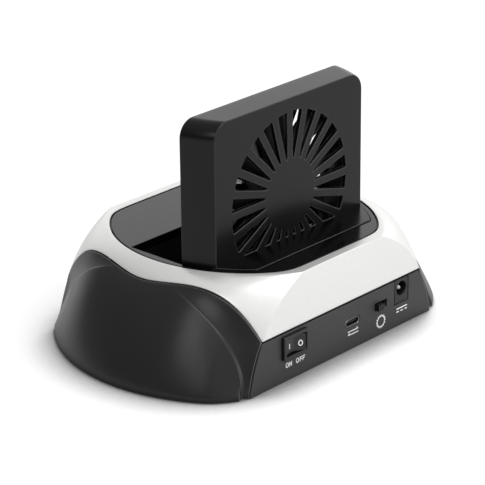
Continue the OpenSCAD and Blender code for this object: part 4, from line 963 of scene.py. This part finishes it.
def printed_ink(colour):
    """Pad-printed ink: flat and matte, with pinholes and thin spots where the pad lifted."""
    material, tree, where = new_material("pad_printed_ink")
    spots = add(tree, "TexNoise", {"Vector": where, "Scale": 1 / (0.35 * MM), "Detail": 2.0})
    dark, pale = shades(colour, 0.1)
    tint = add(tree, "Mix", {"Factor": spots, "A": dark, "B": pale}, data_type="RGBA")
    bump = add(tree, "Bump", {"Height": spots, "Strength": 0.5, "Distance": 0.01 * MM})
    bsdf = add(tree, "BsdfPrincipled", {"Base Color": tint, "Roughness": 0.6, "Normal": bump, "IOR": 1.48})
    add(tree, "OutputMaterial", {"Surface": bsdf})
    return material


def clear_rod(name, colour):
    """Cast acrylic: clear, with a faint haze that varies along the rod."""
    material, tree, where = new_material(name)
    haze = add(tree, "TexNoise", {"Vector": where, "Scale": 1 / (1.5 * MM), "Detail": 2.0})
    gloss = add(tree, "MapRange", {"Value": haze, "To Min": 0.08, "To Max": 0.3})
    bsdf = add(tree, "BsdfPrincipled", {
        "Base Color": shades(colour, 0)[0], "Roughness": gloss, "IOR": 1.49, "Transmission Weight": 0.55,
    })
    add(tree, "OutputMaterial", {"Surface": bsdf})
    return material


FINISH = {}


class DOCK_OT_finishes(bpy.types.Operator):
    """Makes the finishes and gives them to the CAD nodes that keep their own shape"""

    bl_idname = "dock.finishes"
    bl_label = "Finishes"

    def execute(self, context):
        c = context.scene.dock_colours
        # After the colour come roughness, and grain and depth of the grain in millimetres
        FINISH.update(
            # Spray lacquer gives a bright satin with soft edges of light
            shell=silver_lacquer(c.shell),
            # ABS from an etched mould: semi-gloss, so lamps show as wide soft bands, and a pale highlight is
            # painted along its edges and crease
            caps=moulded("etched_abs_caps", c.caps, 0.3, 0.6, 0.004, specular=0.35, painted_edge_highlight=0.85),
            # ABS from a coarse spark-eroded mould: matte, with a visible fine grain
            panel=moulded("spark_eroded_abs_panels", c.panel, 0.52, 0.7, 0.014, mottle=0.1),
            # ABS from a polished mould: a gloss that mirrors what stands on it, barely rippled
            deck=moulded("polished_abs_deck", c.deck, 0.15, 3.0, 0.004, mottle=0.08, specular=0.29),
            # ABS from a satin mould: soft streaks of light, and a pale highlight painted along its edges
            tower=moulded("satin_abs_tower", c.tower, 0.25, 0.6, 0.004, specular=0.26, painted_edge_highlight=0.4),
            inside=moulded("black_abs_inside", c.inside, 0.5, 0.8, 0.01),
            fan=moulded("glass_filled_nylon_fan", c.fan, 0.4, 0.5, 0.012, mottle=0.12, stretch=(1, 3, 1)),
            switch=moulded("nylon_switch", c.switch, 0.3, 0.4, 0.004),
            ink=printed_ink(c.ink),
            tray=moulded("matte_abs_tray", c.tray, 0.55, 0.7, 0.012),
            # Rubber scatters light at its surface and has no clear highlight
            rubber=moulded("nitrile_rubber_feet", "#161616", 0.75, 0.5, 0.02, specular=0.3),
            # Zinc plating: bright, with fine turning lines
            steel=metal("zinc_plated_steel", "#B9BABD", 0.3),
            bronze=metal("sintered_bronze", "#A9824A", 0.45, stretch=(1, 1, 1)),
            copper=metal("enamelled_copper_wire", "#9C5A2E", 0.35, stretch=(1, 8, 1)),
            gold=metal("gold_flash_contacts", "#D9B45B", 0.25, stretch=(1, 1, 6)),
            can=metal("sleeved_aluminium_can", "#8A90A3", 0.35),
            lead=moulded("vinyl_lead", "#202021", 0.45, 0.6, 0.01),
            red_lead=moulded("red_vinyl_lead", "#7A1E1E", 0.45, 0.6, 0.01),
            nylon=moulded("natural_nylon_header", "#E4DFD0", 0.45, 0.5, 0.008),
            board=moulded("solder_mask_on_laminate", "#1C5A35", 0.28, 1.2, 0.01, mottle=0.2),
            ferrite=moulded("sintered_ferrite", "#4A4A4C", 0.7, 0.5, 0.02),
            rod=clear_rod("cast_acrylic_rod", "#DCE6EC"),
        )
        keep = {
            "rubber": "rubber_feet",
            "steel": "case_screws deck_screws fan_screws fan_shaft board_screws crystal power_jack_pin",
            "inside": "drive_well sata_socket bridge_chip usb_tongue speed_switch",
            "fan": "fan_frame",
            "bronze": "fan_bushing",
            "copper": "fan_stator",
            "lead": "fan_lead",
            "red_lead": "switch_leads",
            "nylon": "fan_header",
            "board": "main_board",
            "gold": "sata_contacts rocker_terminals",
            "can": "capacitors",
            "ferrite": "inductors",
            "switch": "speed_knob",
            "rod": "indicator_lamp light_pipe",
        }
        for finish, node in [(finish, node) for finish, nodes in keep.items() for node in nodes.split()]:
            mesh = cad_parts[node].data
            mesh.materials.clear()
            mesh.materials.append(FINISH[finish])
        return {"FINISHED"}


class DOCK_OT_shell(bpy.types.Operator):
    """Builds the silver upper shell"""

    bl_idname = "dock.shell"
    bl_label = "Upper shell"

    def execute(self, context):
        s = context.scene.dock_sizes
        shape = shell_shape(s.seam_round, s.brink_round)
        place("top_shell_skin", shape, "shell", ["top_shell"])
        return {"FINISHED"}


class DOCK_OT_side_caps(bpy.types.Operator):
    """Builds the two dark side caps and the tray behind their aprons"""

    bl_idname = "dock.side_caps"
    bl_label = "Side caps"

    def execute(self, context):
        s = context.scene.dock_sizes
        for side, node in ((1, "side_cap_right"), (-1, "side_cap_left")):
            shape = cap_shape(side, s.cap_round, s.cap_panel_round, s.crease_band, s.crease_depth)
            place(node + "_skin", shape, "caps", [node])
        place("base_tray_floor", tray_shape(), "tray", ["base_tray"])
        return {"FINISHED"}


class DOCK_OT_panels(bpy.types.Operator):
    """Builds the rear panel with its openings and the front panel with its lamp hole"""

    bl_idname = "dock.panels"
    bl_label = "Panels"

    def execute(self, context):
        r = context.scene.dock_sizes.panel_round
        back = HALF_D - PANEL_T
        holes = [
            box_loop(ROCKER_X, ROCKER_Z, 13.5, 9.0, 0.4),
            slot_loop(PORT_X, PORT_Z, PORT_W + 0.7, PORT_H + 0.7),
            box_loop(SPEED_X, SPEED_Z, 8.0, 3.5, 0.3),
        ]
        lamp = round_loop(LAMP_X, LAMP_Z, LAMP_R)
        for way, node, loops in ((1, "rear_panel", holes), (-1, "front_panel", [lamp])):
            y0, y1 = way * HALF_D, way * back
            stacks = [wall_stack(panel_loop(way > 0), y0, y1, r)]
            stacks += [wall_stack(loop[::-1], y0, y1, 0.2, steps=4) for loop in loops]
            shape = stack_solid(stacks, [0, 2])
            place(node + "_face", shape, "panel", [node], even=True)
        return {"FINISHED"}


class DOCK_OT_deck(bpy.types.Operator):
    """Builds the gloss deck plate"""

    bl_idname = "dock.deck"
    bl_label = "Deck"

    def execute(self, context):
        shape = deck_shape(context.scene.dock_sizes.deck_round)
        place("deck_plate_face", shape, "deck", ["deck_plate"], even=True)
        return {"FINISHED"}


class DOCK_OT_tower(bpy.types.Operator):
    """Builds the fan tower's cover, its flange and its front grille"""

    bl_idname = "dock.tower"
    bl_label = "Fan tower"

    def execute(self, context):
        s = context.scene.dock_sizes
        for name, shape, node in (
            ("fan_tower_cover", tower_shape(s.tower_round, s.gap_round), "fan_cover"),
            ("fan_tower_flange", flange_shape(), "fan_cover"),
            ("fan_tower_front", front_grille_shape(s.gap_round), "fan_front_grille"),
        ):
            place(name, shape, "tower", [node], even=True)
        return {"FINISHED"}


class DOCK_OT_rotor(bpy.types.Operator):
    """Builds the fan's hub and blades"""

    bl_idname = "dock.rotor"
    bl_label = "Fan rotor"

    def execute(self, context):
        place("fan_rotor_blades", rotor_shape(), "fan", ["fan_rotor"], "rotor")
        return {"FINISHED"}


class DOCK_OT_rocker(bpy.types.Operator):
    """Builds the rocker switch and its marks"""

    bl_idname = "dock.rocker"
    bl_label = "Rocker switch"

    def execute(self, context):
        bezel, button = rocker_housing_shape(), rocker_button_shape()
        marks = rocker_marks_shape(context.scene.dock_sizes.print_height)
        place("rocker_bezel", bezel, "switch", ["rocker_housing"], even=True)
        place("rocker_cap", button, "switch", ["rocker_button"], "rocker", even=True)
        place("rocker_marks", marks, "ink", body="rocker")
        return {"FINISHED"}


class DOCK_OT_sockets(bpy.types.Operator):
    """Builds the data port's sleeve and the power jack"""

    bl_idname = "dock.sockets"
    bl_label = "Sockets"

    def execute(self, context):
        place("data_port_sleeve", port_shape(), "steel", ["usb_shell"], even=True)
        place("power_jack_body", jack_shape(), "inside", ["power_jack"], even=True)
        return {"FINISHED"}


class DOCK_OT_prints(bpy.types.Operator):
    """Prints the generic marks on the rear panel"""

    bl_idname = "dock.prints"
    bl_label = "Printed marks"

    def execute(self, context):
        shape = prints_shape(context.scene.dock_sizes.print_height)
        place("rear_panel_marks", shape, "ink")
        return {"FINISHED"}


class DOCK_OT_stage(bpy.types.Operator):
    """Sets up the floor, the lamps, the studio light and the camera"""

    bl_idname = "dock.stage"
    bl_label = "Stage"

    def execute(self, context):
        scene = context.scene
        look = scene.dock_stage
        scene.view_settings.view_transform = "Standard"
        self.floor(scene, tuple(look.floor))
        self.studio(scene, look.wall, look.room, look.ceiling)
        aim = (0, 0, 40)
        self.lamp(scene, "lamp_top", (-250, 570, 1130), aim, 0.8, look.top)
        self.lamp(scene, "lamp_right", (360, 950, 770), aim, 1.4, look.right)
        self.lamp(scene, "lamp_edge", (-300, 1120, 260), aim, 0.5, look.edge)
        self.lamp(scene, "lamp_left", (968, 314, 676), aim, 0.4, look.left)
        self.camera(scene)
        return {"FINISHED"}

    def floor(self, scene, colour):
        """A pale floor that keeps the shadow, with a little light of its own for the eye so that it reads
        as white. Near the dock a painted contact shadow, from ambient occlusion, darkens its colour and that
        light."""
        material, tree, where = new_material("white_sweep")
        paper = add(tree, "TexNoise", {"Vector": where, "Scale": 1 / (40 * MM), "Detail": 2.0})
        dark, pale = shades(colour, 0.01)
        tint = add(tree, "Mix", {"Factor": paper, "A": dark, "B": pale}, data_type="RGBA")
        # The normal leans away from the camera, so the soft shadow lies to the near side, as the
        # photograph has it
        face = add(tree, "NewGeometry").outputs["Normal"]
        lean = add(tree, "VectorMath", {0: face, 1: (-0.42, -0.06, 0)}, operation="ADD")
        near = add(tree, "AmbientOcclusion", {"Distance": 30 * MM, "Normal": lean}, samples=12).outputs["AO"]
        clear = {"Value": near, "From Min": 0.48, "From Max": 0.86}
        clear = add(tree, "MapRange", clear, interpolation_type="SMOOTHSTEP")
        # Painted contact shadow: where the dock is near, the floor's colour is darkened towards black
        depth = add(tree, "MapRange", {"Value": clear, "To Min": 0.35})
        tint = add(tree, "Mix", {"Factor": depth, "A": (0, 0, 0, 1), "B": tint}, data_type="RGBA")
        ray = add(tree, "LightPath").outputs
        dim = add(tree, "MapRange", {"Value": ray["Is Glossy Ray"], "To Max": 0.55})
        seen = add(tree, "Math", {0: ray["Is Camera Ray"], 1: dim}, operation="MAXIMUM")
        seen = add(tree, "Math", {0: seen, 1: ray["Is Transmission Ray"]}, operation="MAXIMUM")
        # Painted contact shadow too: the floor's own light fades out where the dock is near
        lift = add(tree, "MapRange", {"Value": clear, "To Max": 0.45})
        lift = add(tree, "Math", {0: seen, 1: lift}, operation="MULTIPLY")
        matte = add(tree, "BsdfDiffuse", {"Color": tint})
        glow = add(tree, "Emission", {"Strength": lift})
        both = add(tree, "AddShader", {0: matte, 1: glow})
        add(tree, "OutputMaterial", {"Surface": both})
        half = np.linspace(-9000, 9000, 3)
        x, y = np.meshgrid(half, half, indexing="ij")
        points = join(x, y, -0.05).reshape(-1, 3)
        mesh = bpy.data.meshes.new("floor")
        mesh.from_pydata((points * MM).tolist(), [], strip_faces(3, 3)[:, ::-1].tolist())
        mesh.materials.append(material)
        plane = bpy.data.objects.new("floor", mesh)
        scene.collection.objects.link(plane)

    def studio(self, scene, wall, room, ceiling):
        """Studio walls and ceiling as one soft light: a bright wall behind the dock, a dim room behind the
        camera, and a ceiling between the two."""
        world = bpy.data.worlds.new("studio")
        world.use_nodes = True
        tree = world.node_tree
        tree.nodes.clear()
        where = add(tree, "TexCoord").outputs["Generated"]
        height = add(tree, "SeparateXYZ", {"Vector": where}).outputs["Z"]
        away = add(tree, "VectorMath", {0: where, 1: (-1, -0.02, 0)}, operation="DOT_PRODUCT")
        around = {"Value": away, "From Min": -0.5, "From Max": 0.7, "To Min": room, "To Max": wall}
        around = add(tree, "MapRange", around, interpolation_type="SMOOTHSTEP")
        level = {"Value": height, "From Min": 0.05, "From Max": 0.95, "To Min": around, "To Max": ceiling}
        level = add(tree, "MapRange", level, interpolation_type="SMOOTHSTEP")
        # The camera itself sees plain white beyond the floor
        eye = add(tree, "LightPath").outputs["Is Camera Ray"]
        level = add(tree, "MapRange", {"Value": eye, "To Min": level, "To Max": 1.0})
        light = add(tree, "Background", {"Color": (1, 1, 1, 1), "Strength": level})
        add(tree, "OutputWorld", {"Surface": light})
        scene.world = world

    def lamp(self, scene, name, at, aim, size, power):
        """A square soft lamp at a place in millimetres, facing a point."""
        data = bpy.data.lights.new(name, "AREA")
        data.size = size
        data.energy = power
        lamp = bpy.data.objects.new(name, data)
        spot = Vector(at) * MM
        turn = (Vector(aim) * MM - spot).to_track_quat("-Z", "Y").to_matrix().to_4x4()
        lamp.matrix_world = Matrix.Translation(spot) @ turn
        scene.collection.objects.link(lamp)

    def camera(self, scene):
        """The photograph's view: azimuth, elevation, roll, place and lens, all from a fit of the CAD model
        to it."""
        a, e, r = radians(132.38), radians(22.16), radians(-0.65)
        back = Vector((sin(a) * cos(e), -cos(a) * cos(e), sin(e)))
        right = Vector((cos(a), sin(a), 0))
        up = back.cross(right)
        right, up = cos(r) * right + sin(r) * up, cos(r) * up - sin(r) * right
        data = bpy.data.cameras.new("photo_view")
        data.sensor_width = 36
        data.lens = 173.13
        data.clip_start, data.clip_end = 0.05, 30
        camera = bpy.data.objects.new("photo_view", data)
        axes = Matrix((right, up, back)).transposed().to_4x4()
        camera.matrix_world = Matrix.Translation(Vector((686.69, 625.76, 413.82)) * MM) @ axes
        scene.collection.objects.link(camera)
        scene.camera = camera


class DOCK_PT_panel(bpy.types.Panel):
    """Lists the steps that build the dock, and its sizes and colours"""

    bl_label = "Dock"
    bl_idname = "DOCK_PT_panel"
    bl_space_type = "VIEW_3D"
    bl_region_type = "UI"
    bl_category = "Dock"

    def draw(self, context):
        for step in STEPS:
            self.layout.operator(step.bl_idname)
        for group in (context.scene.dock_sizes, context.scene.dock_colours, context.scene.dock_stage):
            for name in group.__annotations__:
                self.layout.prop(group, name)


STEPS = (
    DOCK_OT_finishes, DOCK_OT_shell, DOCK_OT_side_caps, DOCK_OT_panels, DOCK_OT_deck, DOCK_OT_tower,
    DOCK_OT_rotor, DOCK_OT_rocker, DOCK_OT_sockets, DOCK_OT_prints, DOCK_OT_stage,
)
GROUPS = {"dock_sizes": DockSizes, "dock_colours": DockColours, "dock_stage": DockStage}


def register():
    """Registers the classes and hangs the property groups on the scene."""
    for cls in (*GROUPS.values(), *STEPS, DOCK_PT_panel):
        bpy.utils.register_class(cls)
    for name, group in GROUPS.items():
        setattr(bpy.types.Scene, name, PointerProperty(type=group))


def unregister():
    """Takes back what register did."""
    for name in GROUPS:
        delattr(bpy.types.Scene, name)
    for cls in (DOCK_PT_panel, *STEPS[::-1], *list(GROUPS.values())[::-1]):
        bpy.utils.unregister_class(cls)


def main():
    register()
    for step in STEPS:
        getattr(bpy.ops.dock, step.bl_idname.split(".")[1])()


if __name__ == "__main__":
    main()
